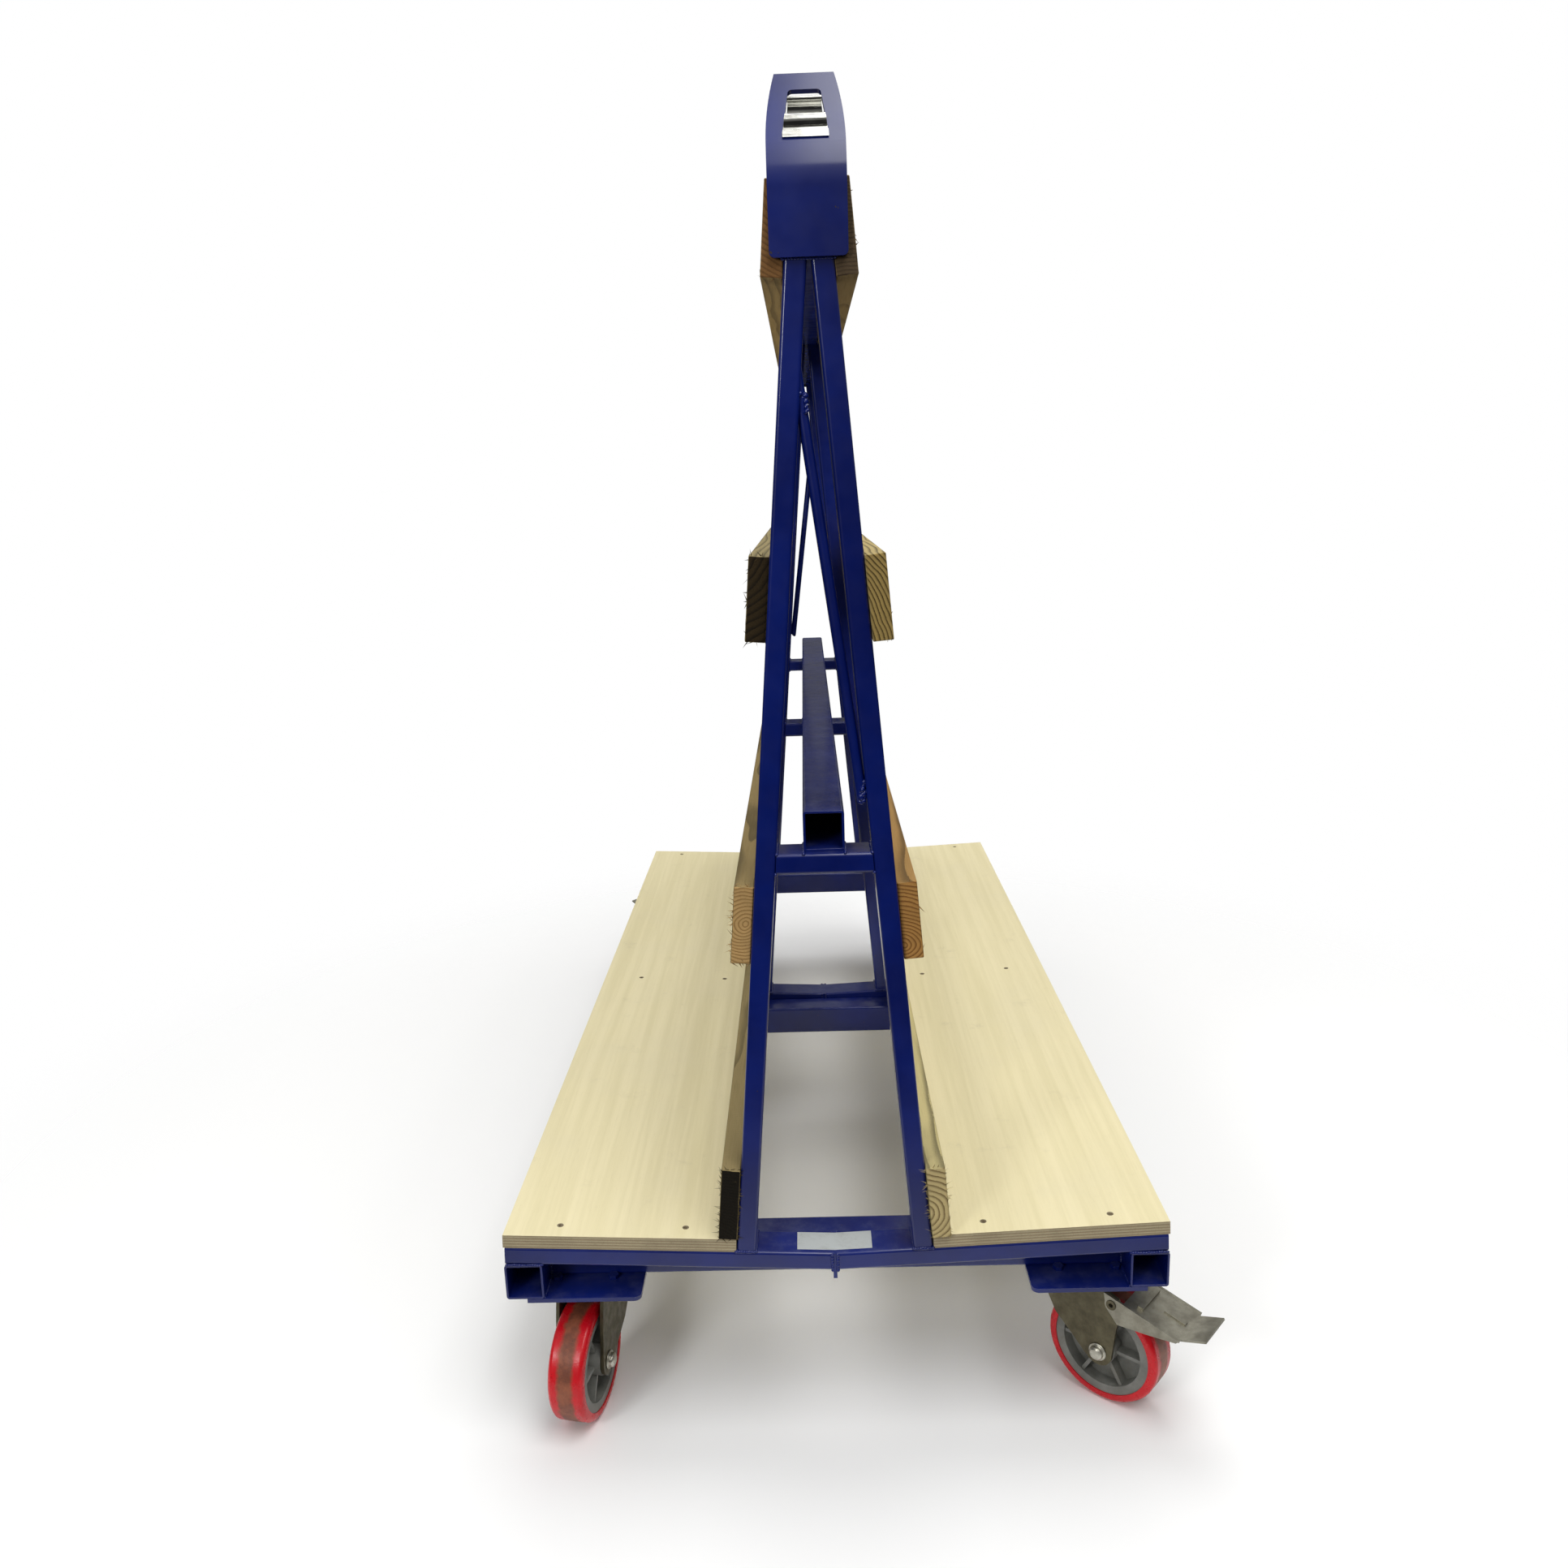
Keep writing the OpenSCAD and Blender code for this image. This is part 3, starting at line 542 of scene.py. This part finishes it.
# For each board: the face's colour, the sawn end's, the dark rings', the log's middle seen from
# the board's middle, the width of a ring, and how strongly the rings show.
TIMBER = {
    # left_batten_1's sawn end and its rings are near black: partly the end grain's own darker tone, partly
    # painted shade laid into the end colour.
    "left_batten_1": ((142, 126, 86), (24, 19, 9), (12, 9, 4), (0.030, -0.09), 0.0042, 0.6),
    "left_batten_2": ((150, 130, 86), (204, 166, 108), (140, 104, 60), (-0.004, 0.006), 0.0045, 0.8),
    "left_batten_3": ((172, 156, 112), (54, 42, 22), (20, 14, 6), (0.08, 0.08), 0.0080, 0.85),
    "left_batten_4": ((188, 160, 108), (142, 102, 60), (86, 58, 30), (-0.05, 0.06), 0.0050, 0.6),
    "right_batten_1": ((192, 178, 126), (206, 186, 132), (112, 90, 56), (-0.022, -0.012), 0.0070, 0.9),
    "right_batten_2": ((164, 128, 76), (190, 140, 76), (112, 70, 32), (-0.012, -0.03), 0.0050, 0.9),
    "right_batten_3": ((190, 170, 116), (172, 146, 86), (62, 48, 22), (-0.10, -0.04), 0.0046, 1.0),
    "right_batten_4": ((154, 130, 88), (92, 76, 56), (40, 30, 20), (0.0, -0.10), 0.0040, 0.5),
}


def board_frame(node):
    """Middle of a batten and the directions out of its face and up its width."""
    low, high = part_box(node)
    side = -1 if node.startswith("left") else 1
    out = Vector((side * math.cos(LEAN), 0, math.sin(LEAN)))
    up = Vector((-side * math.sin(LEAN), 0, math.cos(LEAN)))
    return (Vector(low) + Vector(high)) / 2, out, up, low[1], high[1], side


def board_outline():
    """Section of a sawn board, its long sides split so that they can wander a little."""
    corner, skin, split = 0.0014, 0.0003, 0.008
    half_t, half_w = BOARD_T / 2 - skin, BOARD_W / 2 - skin
    path = []
    for a, b, start in ((1, 1, 0), (-1, 1, 90), (-1, -1, 180), (1, -1, 270)):
        for k in range(4):
            angle = math.radians(start + 30 * k)
            path.append((a * (half_t - corner) + corner * math.cos(angle),
                         b * (half_w - corner) + corner * math.sin(angle)))
    full = []
    for (a0, b0), (a1, b1) in zip(path, path[1:] + path[:1]):
        steps = max(1, round(math.hypot(a1 - a0, b1 - b0) / split))
        full += [(a0 + (a1 - a0) * k / steps, b0 + (b1 - b0) * k / steps) for k in range(steps)]
    return full


def drawn_in(value, half, inset):
    """Moves the outer rim of a section inward and leaves the rest."""
    if abs(value) > half - inset:
        return max(0, abs(value) - inset) * math.copysign(1, value)
    return value


def board_shell(node, seed):
    """A board with wandering faces, gritty skin and ragged sawn ends."""
    middle, out, up, y0, y1, side = board_frame(node)
    outline = board_outline()
    near_end = [0, 0.0015, 0.005, 0.012]
    spaced = near_end + [0.03 + 0.0265 * k for k in range(64)]
    stations = [y0 + s for s in spaced if s < (y1 - y0) - 0.013] + [y1 - s for s in reversed(near_end)]
    shell = bmesh.new()
    loops = []
    for index, y in enumerate(stations):
        last = index in (0, len(stations) - 1)
        sign = 1 if index < len(stations) / 2 else -1
        loop = []
        for a, b in outline:
            sway = abs(noise.noise(Vector((y * 2.3 + seed, a * 30, b * 14))) * 0.00025)
            grit = abs(noise.noise(Vector((y * 90 + seed, a * 160, b * 160))) * 0.00012)
            draw = 0.0009 if last else 0
            scale = 1 - (draw + sway + grit) / (BOARD_T / 2)
            tear = noise.noise(Vector((a * 300, b * 260, seed)))
            ragged = sign * abs(tear) * 0.0016 if last else 0
            off = out * (a * scale) + up * (b - math.copysign(draw + sway, b))
            loop.append(shell.verts.new(Vector((middle.x, y + ragged, middle.z)) + off))
        loops.append(loop)
    count = len(outline)
    for one, two in zip(loops, loops[1:]):
        for k in range(count):
            shell.faces.new((one[k], one[(k + 1) % count], two[(k + 1) % count], two[k]))
    for loop, end_y, sign in ((loops[0], y0, 1), (loops[-1], y1, -1)):
        rims = [loop]
        for inset in (0.0025, 0.006):
            inner = []
            for a, b in outline:
                dent = abs(noise.noise(Vector((a * 500, b * 500, seed + inset * 900)))) * 0.0004
                place = Vector((middle.x, end_y + sign * dent, middle.z))
                inner.append(shell.verts.new(
                    place + out * drawn_in(a, BOARD_T / 2, inset) + up * drawn_in(b, BOARD_W / 2, inset)))
            rims.append(inner)
        for one, two in zip(rims, rims[1:]):
            for k in range(count):
                shell.faces.new((one[k], two[k], two[(k + 1) % count], one[(k + 1) % count]))
        shell.faces.new(rims[-1])
    bmesh.ops.remove_doubles(shell, verts=shell.verts, dist=1e-6)
    bmesh.ops.recalc_face_normals(shell, faces=shell.faces)
    bmesh.ops.triangulate(shell, faces=[f for f in shell.faces if len(f.verts) > 4])
    return shell


def splinter_recipe():
    """Loose fibres along a line, each turned and stretched its own way."""
    fray = Recipe("splinters", Count="Int", Length="Float", Thickness="Float", Share="Float", Seed="Int",
                  Finish="Material")
    path = fray.step("GeometryNodeMeshToCurve", {"Mesh": fray.given["Geometry"]}).outputs[0]
    inputs = {"Curve": path, "Count": fray.given["Count"]}
    dots = fray.step("GeometryNodeResampleCurve", inputs, mode="COUNT").outputs[0]
    inputs = {"Probability": fray.given["Share"], "Seed": fray.given["Seed"]}
    keep = fray.step("FunctionNodeRandomValue", inputs, data_type="BOOLEAN").outputs[3]
    inputs = {"Vertices": 4, "Radius Top": 0.0, "Radius Bottom": fray.given["Thickness"],
              "Depth": fray.given["Length"]}
    spike = fray.step("GeometryNodeMeshCone", inputs).outputs[0]
    inputs = {0: (-0.4, -3.14, -0.4), 1: (0.4, 3.14, 0.4), "Seed": fray.given["Seed"]}
    aim = fray.step("FunctionNodeRandomValue", inputs, data_type="FLOAT_VECTOR").outputs[0]
    inputs = {0: (0.5, 0.5, 0.25), 1: (1.6, 1.6, 1.5), "Seed": fray.given["Seed"]}
    size = fray.step("FunctionNodeRandomValue", inputs, data_type="FLOAT_VECTOR").outputs[0]
    inputs = {"Points": dots, "Selection": keep, "Instance": spike, "Rotation": aim, "Scale": size}
    return fray.ends_with(fray.step("GeometryNodeInstanceOnPoints", inputs).outputs[0], False)


FRAY = splinter_recipe()
# share of the fibres that stand off each board's sawn ends
RAGGED = {"right_batten_1": 0.75, "left_batten_1": 0.9, "left_batten_2": 0.7, "left_batten_3": 0.45}
CLEAN_CUT = 0.1
FRAY_IN, FRAY_BACK = 0.0008, 0.003

for seed, (node, (face, end, late, pith, ring_w, strength)) in enumerate(TIMBER.items()):
    middle, out, up, y0, y1, side = board_frame(node)
    pith = (side * pith[0], pith[1])
    timber = sawn_timber(f"timber_{node}", middle, side, face, end, late, pith, ring_w, strength)
    finished(f"sawn_{node}", [board_shell(node, 11 + 7 * seed)], [timber], "frame", [node])
    half_t, half_w = BOARD_T / 2 - FRAY_IN, BOARD_W / 2 - FRAY_IN
    lines = []
    for y in (y0 + FRAY_BACK, y1 - FRAY_BACK):
        corners = ((-1, -1), (-1, 1), (1, 1), (1, -1), (-1, -1))
        centre = Vector((middle.x, y, middle.z))
        lines.append([centre + out * (a * half_t) + up * (b * half_w) for a, b in corners])
    fray = lines_mesh(f"splinters_{node}", lines)
    run = fray.modifiers.new("fray", "NODES")
    run.node_group = FRAY
    share = RAGGED.get(node, CLEAN_CUT)
    inputs_of(run, Count=190, Length=0.008, Thickness=0.0005, Share=share, Seed=seed, Finish=timber)
    settled(fray, "frame")

# ---- Wood screws ----
# Countersunk screws with a cross recess, zinc plated: two through each batten into every leg, and
# two rows of them, trodden dull, down each deck. The driver left each at its own angle.

def zinc(name, light, dark, metal, rough_low, rough_high, grime=0.3):
    plate = Finish(name)
    patch = plate.cloud(55, 5, 0.65)
    body = plate.mixed(plate.remap(patch, 0.3, 0.7), tone(*light), tone(*dark))
    dirt = plate.remap(plate.cloud(24, 7, 0.7), 0.48, 0.78, 0, grime)
    body = plate.mixed(dirt, body, tone(74, 64, 46))
    spots = plate.remap(plate.cloud(260, 3, 0.5), 0.68, 0.76, 0, grime)
    body = plate.mixed(spots, body, tone(58, 46, 32))
    rough = plate.remap(plate.cloud(90, 4), 0.3, 0.7, rough_low, rough_high)
    bump = plate.raised(plate.cloud(500, 3), 0.00015, 0.3, plate.raised(patch, 0.0004, 0.25))
    return plate.wear(colour=body, rough=rough, bump=bump, metal=metal)


SCREW_ZINC = zinc("screw_zinc", (206, 204, 192), (160, 156, 140), 0.9, 0.25, 0.45)
WORN_ZINC = zinc("worn_screw_zinc", (150, 138, 112), (112, 98, 74), 0.6, 0.45, 0.65, 0.7)


def screw_head(radius):
    """Flat head with a cross recess, its face at z = 0."""
    sides = 20
    arm, thin, deep, cone = radius * 0.62, radius * 0.17, radius * 0.42, radius * 0.6
    angles = [math.tau * k / sides for k in range(sides)]
    rim = [Vector((radius * math.cos(angle), radius * math.sin(angle), 0)) for angle in angles]
    half = [(arm, -thin), (arm, thin), (thin, thin)]
    quarters = [Matrix.Rotation(math.tau * q / 4, 3, "Z") for q in range(4)]
    cross = [quarter @ Vector((x, y, 0)) for quarter in quarters for x, y in half]
    shell = bmesh.new()
    flat = [shell.verts.new(p) for p in rim + cross]
    for tri in tessellate_polygon([rim, cross]):
        shell.faces.new([flat[i] for i in tri])
    outer, inner = flat[:sides], flat[sides:]
    floor_ring = [shell.verts.new(Vector((v.co.x * 0.55, v.co.y * 0.55, -deep))) for v in inner]
    under = [shell.verts.new(Vector((v.co.x * 0.5, v.co.y * 0.5, -cone))) for v in outer]
    for loop_a, loop_b in ((inner, floor_ring), (outer, under)):
        for k in range(len(loop_a)):
            n = (k + 1) % len(loop_a)
            shell.faces.new((loop_a[k], loop_a[n], loop_b[n], loop_b[k]))
    shell.faces.new(floor_ring)
    shell.faces.new(under)
    bmesh.ops.recalc_face_normals(shell, faces=shell.faces)
    mesh = bpy.data.meshes.new("screw_pattern")
    shell.to_mesh(mesh)
    shell.free()
    pattern = bpy.data.objects.new("screw_pattern", mesh)
    bpy.context.scene.collection.objects.link(pattern)
    return pattern


def driven_recipe():
    """Copies of a pattern on points, each facing along its own aim and turned at random."""
    drive = Recipe("driven_in", Pattern="Object", Seed="Int", Finish="Material")
    one = drive.step("GeometryNodeObjectInfo", {"Object": drive.given["Pattern"]}).outputs["Geometry"]
    inputs = {"Name": "aim"}
    aim = drive.step("GeometryNodeInputNamedAttribute", inputs, data_type="FLOAT_VECTOR").outputs[0]
    face = drive.step("FunctionNodeAlignRotationToVector", {"Vector": aim}, axis="Z").outputs[0]
    inputs = {0: (0, 0, 0), 1: (0, 0, 1.57), "Seed": drive.given["Seed"]}
    turn = drive.step("FunctionNodeRandomValue", inputs, data_type="FLOAT_VECTOR").outputs[0]
    inputs = {0: face, 1: turn}
    turned = drive.step("FunctionNodeRotateRotation", inputs, rotation_space="LOCAL").outputs[0]
    dots = drive.step("GeometryNodeMeshToPoints", {0: drive.given["Geometry"]}).outputs[0]
    inputs = {"Points": dots, "Instance": one, "Rotation": turned}
    return drive.ends_with(drive.step("GeometryNodeInstanceOnPoints", inputs).outputs[0], False)


DRIVE = driven_recipe()


def driven(name, spots, radius, seed, finish, nodes):
    """Screws at (place, direction) pairs."""
    pattern = screw_head(radius)
    mesh = bpy.data.meshes.new(name)
    mesh.from_pydata([tuple(p) for p, _ in spots], [], [])
    aims = mesh.attributes.new("aim", "FLOAT_VECTOR", "POINT")
    for k, (_, direction) in enumerate(spots):
        aims.data[k].vector = direction
    piece = bpy.data.objects.new(name, mesh)
    bpy.context.scene.collection.objects.link(piece)
    run = piece.modifiers.new("drive", "NODES")
    run.node_group = DRIVE
    inputs_of(run, Pattern=pattern, Seed=seed, Finish=finish)
    settled(piece, "frame", nodes)
    bpy.data.objects.remove(pattern)


leg_boxes = [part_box(f"{end}_leg_right") for end in ENDS]
frame_ys = [(low[1] + high[1]) / 2 for low, high in leg_boxes]
SUNK = 0.0001
spots = []
for node in TIMBER:
    middle, out, up, y0, y1, side = board_frame(node)
    rises = (-0.038, 0.0) if node.endswith("4") else (-0.028, 0.028)
    for y in frame_ys:
        for rise in rises:
            spots.append((Vector((middle.x, y, middle.z)) + out * (BOARD_T / 2 - SUNK) + up * rise, out))
driven("batten_screw_heads", spots, 0.005, 1, SCREW_ZINC, ["batten_screws"])
spots = []
for side in (-1, 1):
    up = Vector((-side * math.sin(TILT), 0, math.cos(TILT)))
    for x in (0.1951, 0.3601):
        for y in frame_ys:
            spots.append((Vector((side * x, y, slope_z(x, 0) + SUNK)), up))
driven("deck_screw_heads", spots, 0.0044, 2, WORN_ZINC, ["deck_screws"])

# ---- Strap guides ----
# A strip of polished stainless steel rolled over each head's window sill, so that a lashing strap
# can run over it without fraying.

def polished():
    bright = Finish("polished_strip")
    lines = bright.cloud(1, 3, 0.6, bright.stretched((30, 900, 900)))
    body = bright.mixed(bright.remap(lines, 0.3, 0.7), tone(196, 196, 190), tone(160, 159, 152))
    rough = bright.remap(bright.cloud(70, 4), 0.3, 0.7, 0.08, 0.2)
    return bright.wear(colour=body, rough=rough, bump=bright.raised(lines, 0.00006, 0.3), metal=1.0)


softened("bright_strap_guides", ["strap_guides"], 0.0003, polished(), "frame")

# ---- Label ----
# A blank white film sticker, folded over the middle of the front member under the decks.

def film():
    sheet = Finish("label_film")
    soil = sheet.remap(sheet.cloud(38, 6, 0.7), 0.45, 0.8, 0, 0.45)
    body = sheet.mixed(soil, tone(190, 195, 194), tone(140, 140, 132))
    rough = sheet.remap(soil, 0, 0.4, 0.3, 0.6)
    bump = sheet.raised(sheet.cloud(120, 3), 0.0003, 0.4)
    return sheet.wear(colour=body, rough=rough, bump=bump, coat=0.3, coat_rough=0.15)


finished("white_label", [merged_copy("label")], [film()], "frame", ["label"])

# ---- Casters ----
# Four swivel casters: pressed zinc-plated forks, red polyurethane tyres cast on grey cores, and
# a foot brake on two of them. The tread is scuffed dull and picks up the floor's dirt.
CASTERS = ("front_right", "front_left", "rear_left", "rear_right")
HEADINGS = {"front_right": -40, "front_left": -101, "rear_left": 140, "rear_right": 79}
TRAIL, WHEEL_R, WHEEL_W, TYRE_T = 0.05, 0.08, 0.05, 0.012

FORK_ZINC = zinc("fork_zinc", (104, 98, 76), (82, 76, 58), 0.7, 0.3, 0.5, 0.3)
PEDAL_ZINC = zinc("pedal_zinc", (160, 157, 142), (136, 132, 118), 0.8, 0.3, 0.45, 0.2)
PLATE_ZINC = zinc("plate_zinc", (170, 168, 156), (126, 122, 108), 0.8, 0.32, 0.55, 0.4)


def moulded_grey():
    core = Finish("core_grey")
    body = core.mixed(core.remap(core.cloud(40, 5), 0.35, 0.7), tone(128, 128, 122), tone(108, 108, 102))
    body = core.mixed(core.remap(core.cloud(16, 7, 0.7), 0.5, 0.8, 0, 0.55), body, tone(86, 76, 58))
    bump = core.raised(core.cloud(700, 2), 0.0002, 0.35)
    return core.wear(colour=body, rough=core.remap(core.cloud(60, 4), 0.3, 0.7, 0.45, 0.65), bump=bump)


def red_urethane():
    """Colour follows the distance from the tread's middle, kept in the piece's own attribute."""
    tyre = Finish("red_tyre")
    across_tread = tyre.step("ShaderNodeAttribute", attribute_name="tread").outputs["Fac"]
    body = tyre.mixed(tyre.remap(tyre.cloud(22, 4), 0.3, 0.7), tone(214, 16, 30), tone(190, 12, 26))
    fringe = tyre.sums("MULTIPLY", tyre.cloud(60, 6, 0.7), 0.2)
    ragged = tyre.sums("ADD", across_tread, fringe)
    worn = tyre.remap(ragged, 0.89, 0.99)
    dirt = tyre.mixed(tyre.remap(tyre.cloud(46, 6, 0.7), 0.35, 0.65), tone(150, 86, 58), tone(112, 62, 44))
    body = tyre.mixed(worn, body, dirt)
    specks = tyre.remap(tyre.cloud(330, 3, 0.5), 0.66, 0.74, 0, 0.7)
    body = tyre.mixed(specks, body, tone(70, 44, 36))
    gloss = tyre.remap(tyre.cloud(50, 4), 0.3, 0.7, 0.22, 0.34)
    rough = tyre.sums("ADD", tyre.sums("MULTIPLY", worn, 0.2), gloss)
    waves = tyre.raised(tyre.cloud(28, 4), 0.0012, 0.3)
    bump = tyre.raised(tyre.cloud(420, 4, 0.6), 0.0004, 0.45, waves)
    return tyre.wear(colour=body, rough=rough, bump=bump, gloss=0.4)


CORE_GREY = moulded_grey()
RED = red_urethane()


def caster_place(caster):
    """Matrix from a caster's own frame, wheel trailing along +X, to where it stands."""
    low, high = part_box(f"{caster}_top_plate")
    axis = Matrix.Translation(((low[0] + high[0]) / 2, (low[1] + high[1]) / 2, 0))
    return axis @ Matrix.Rotation(math.radians(HEADINGS[caster]), 4, "Z")


def tyre_profile():
    """The tyre's section from one edge of the core to the other: radius, place along the axle, and
    how near the middle of the tread it is."""
    inner, half, shoulder = WHEEL_R - TYRE_T, WHEEL_W / 2, 0.008
    path = [(inner, -half + 0.0003, 0.0), (WHEEL_R - shoulder, -half + 0.0001, 0.0)]
    for k in range(1, 8):
        angle = math.radians(90 * k / 8)
        path.append((WHEEL_R - shoulder + shoulder * math.sin(angle),
                     -half + shoulder - shoulder * math.cos(angle), k / 8 * 0.75))
    for k in range(7):
        s = -1 + 2 * k / 6
        path.append((WHEEL_R - 0.0001 - 0.0004 * abs(s) ** 3, s * (half - shoulder), 1.0 - 0.25 * abs(s)))
    path += [(r, -x, t) for r, x, t in reversed(path[1:9])]
    path.append((inner, half - 0.0003, 0.0))
    return path


def tyre_shell(place, seed):
    """A cast ring with small nicks in its tread."""
    shell = bmesh.new()
    share = shell.verts.layers.float.new("tread")
    profile = tyre_profile()
    hub = place @ Vector((TRAIL, 0, WHEEL_R))
    spin = place.to_3x3()
    around = 120
    rings = []
    for k in range(around):
        angle = math.tau * k / around
        loop = []
        for radius, x, tread in profile:
            spot = Vector((math.cos(angle) * 9, math.sin(angle) * 9, x * 160 + seed))
            r = radius - max(0, noise.noise(spot) - 0.25) * 0.0009 * tread
            vert = shell.verts.new(hub + spin @ Vector((r * math.cos(angle), x, r * math.sin(angle))))
            vert[share] = tread
            loop.append(vert)
        rings.append(loop)
    for one, two in zip(rings, rings[1:] + rings[:1]):
        for k in range(len(profile)):
            n = (k + 1) % len(profile)
            shell.faces.new((one[k], one[n], two[n], two[k]))
    bmesh.ops.recalc_face_normals(shell, faces=shell.faces)
    return shell


for number, caster in enumerate(CASTERS):
    swivel, wheel = f"{caster}_swivel", f"{caster}_wheel"
    softened(f"{caster}_mounting_plate", [f"{caster}_top_plate"], 0.0006, PLATE_ZINC, "frame")
    softened(f"{caster}_pressed_fork", [f"{caster}_fork"], 0.0008, FORK_ZINC, swivel)
    softened(f"{caster}_axle_bolt", [f"{caster}_axle"], 0.0008, SCREW_ZINC, swivel)
    softened(f"{caster}_moulded_core", [f"{caster}_core"], 0.0012, CORE_GREY, wheel)
    cast = tyre_shell(caster_place(caster), 5 * number)
    finished(f"{caster}_cast_tyre", [cast], [RED], wheel, [f"{caster}_tyre"])
for caster in ("front_right", "rear_left"):
    lever = f"{caster}_pedal_lever"
    softened(f"{caster}_brake_pedal", [f"{caster}_pedal"], 0.0009, PEDAL_ZINC, lever)

# ---- Caster bolts ----
# M8 bolts through the brackets. Their heads were sprayed over with the frame, the nuts below
# went on afterwards and are still bright.
bolts = merged_copy("caster_bolts")
round_edges(bolts, 0.0005, 50)
bracket_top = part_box("caster_brackets")[1][2]
for face in bolts.faces:
    face.material_index = 0 if face.calc_center_median().z > bracket_top - 0.002 else 1
finished("plate_bolts", [bolts], [BLUE, SCREW_ZINC], "frame", ["caster_bolts"])

# ---- Floor and light ----
# A pale floor that fades into plain white. One wide soft lamp hangs behind the trolley, one in
# front to the right, whose gleam lies on the head plate, and a small weak one stands front left.

def pale_floor():
    ground = Finish("pale_floor")
    ground.wear(colour=tone(250, 250, 249), rough=0.75, gloss=0.2)
    far = ground.step("ShaderNodeVectorMath", {0: ground.place}, operation="LENGTH").outputs["Value"]
    clear = ground.step("ShaderNodeBsdfTransparent").outputs[0]
    inputs = {0: ground.remap(far, 0.95, 1.9), 1: ground.shader.outputs[0], 2: clear}
    fade = ground.step("ShaderNodeMixShader", inputs).outputs[0]
    out = next(n for n in ground.tree.nodes if n.type == "OUTPUT_MATERIAL")
    ground.tree.links.new(fade, out.inputs["Surface"])
    return ground.made


disc = bmesh.new()
bmesh.ops.create_circle(disc, cap_ends=True, radius=4, segments=96)
disc_mesh = bpy.data.meshes.new("floor")
disc.to_mesh(disc_mesh)
disc.free()
disc_mesh.materials.append(pale_floor())
ground = bpy.data.objects.new("floor", disc_mesh)
bpy.context.scene.collection.objects.link(ground)

sky = bpy.data.worlds.new("studio")
sky.use_nodes = True
bpy.context.scene.world = sky
nodes, links = sky.node_tree.nodes, sky.node_tree.links
nodes.clear()
seen = nodes.new("ShaderNodeBackground")
seen.inputs["Color"].default_value, seen.inputs["Strength"].default_value = (1, 1, 1, 1), 1.0
lit = nodes.new("ShaderNodeBackground")
lit.inputs["Strength"].default_value = 1.0
ray = nodes.new("ShaderNodeTexCoord")
split = nodes.new("ShaderNodeSeparateXYZ")
links.new(ray.outputs["Generated"], split.inputs[0])
shade = nodes.new("ShaderNodeValToRGB")
for stop, position, grey in zip(shade.color_ramp.elements, (0.0, 0.9), (0.03, 0.6)):
    stop.position, stop.color = position, (grey, grey, grey, 1)
links.new(split.outputs[2], shade.inputs[0])
links.new(shade.outputs[0], lit.inputs["Color"])
path = nodes.new("ShaderNodeLightPath")
pick = nodes.new("ShaderNodeMixShader")
out = nodes.new("ShaderNodeOutputWorld")
links.new(path.outputs["Is Camera Ray"], pick.inputs[0])
links.new(lit.outputs[0], pick.inputs[1])
links.new(seen.outputs[0], pick.inputs[2])
links.new(pick.outputs[0], out.inputs[0])


def soft_light(name, at, aim, wide, deep, watts):
    lamp = bpy.data.lights.new(name, "AREA")
    lamp.shape, lamp.size, lamp.size_y, lamp.energy = "RECTANGLE", wide, deep, watts
    holder = bpy.data.objects.new(name, lamp)
    holder.location = at
    holder.rotation_euler = (Vector(aim) - Vector(at)).to_track_quat("-Z", "Y").to_euler()
    bpy.context.scene.collection.objects.link(holder)


soft_light("overhead", (0, 1.3, 4.4), (0, 1.3, 0), 3.4, 3.0, 95)
soft_light("key", (1.02, -2.5, 4.2), (1.02, -2.5, 0), 2.0, 3.2, 95)
soft_light("front", (-2.0, -3.6, 2.2), (0, -0.6, 0.4), 0.8, 0.8, 36)
bpy.context.scene.view_settings.view_transform = "Standard"
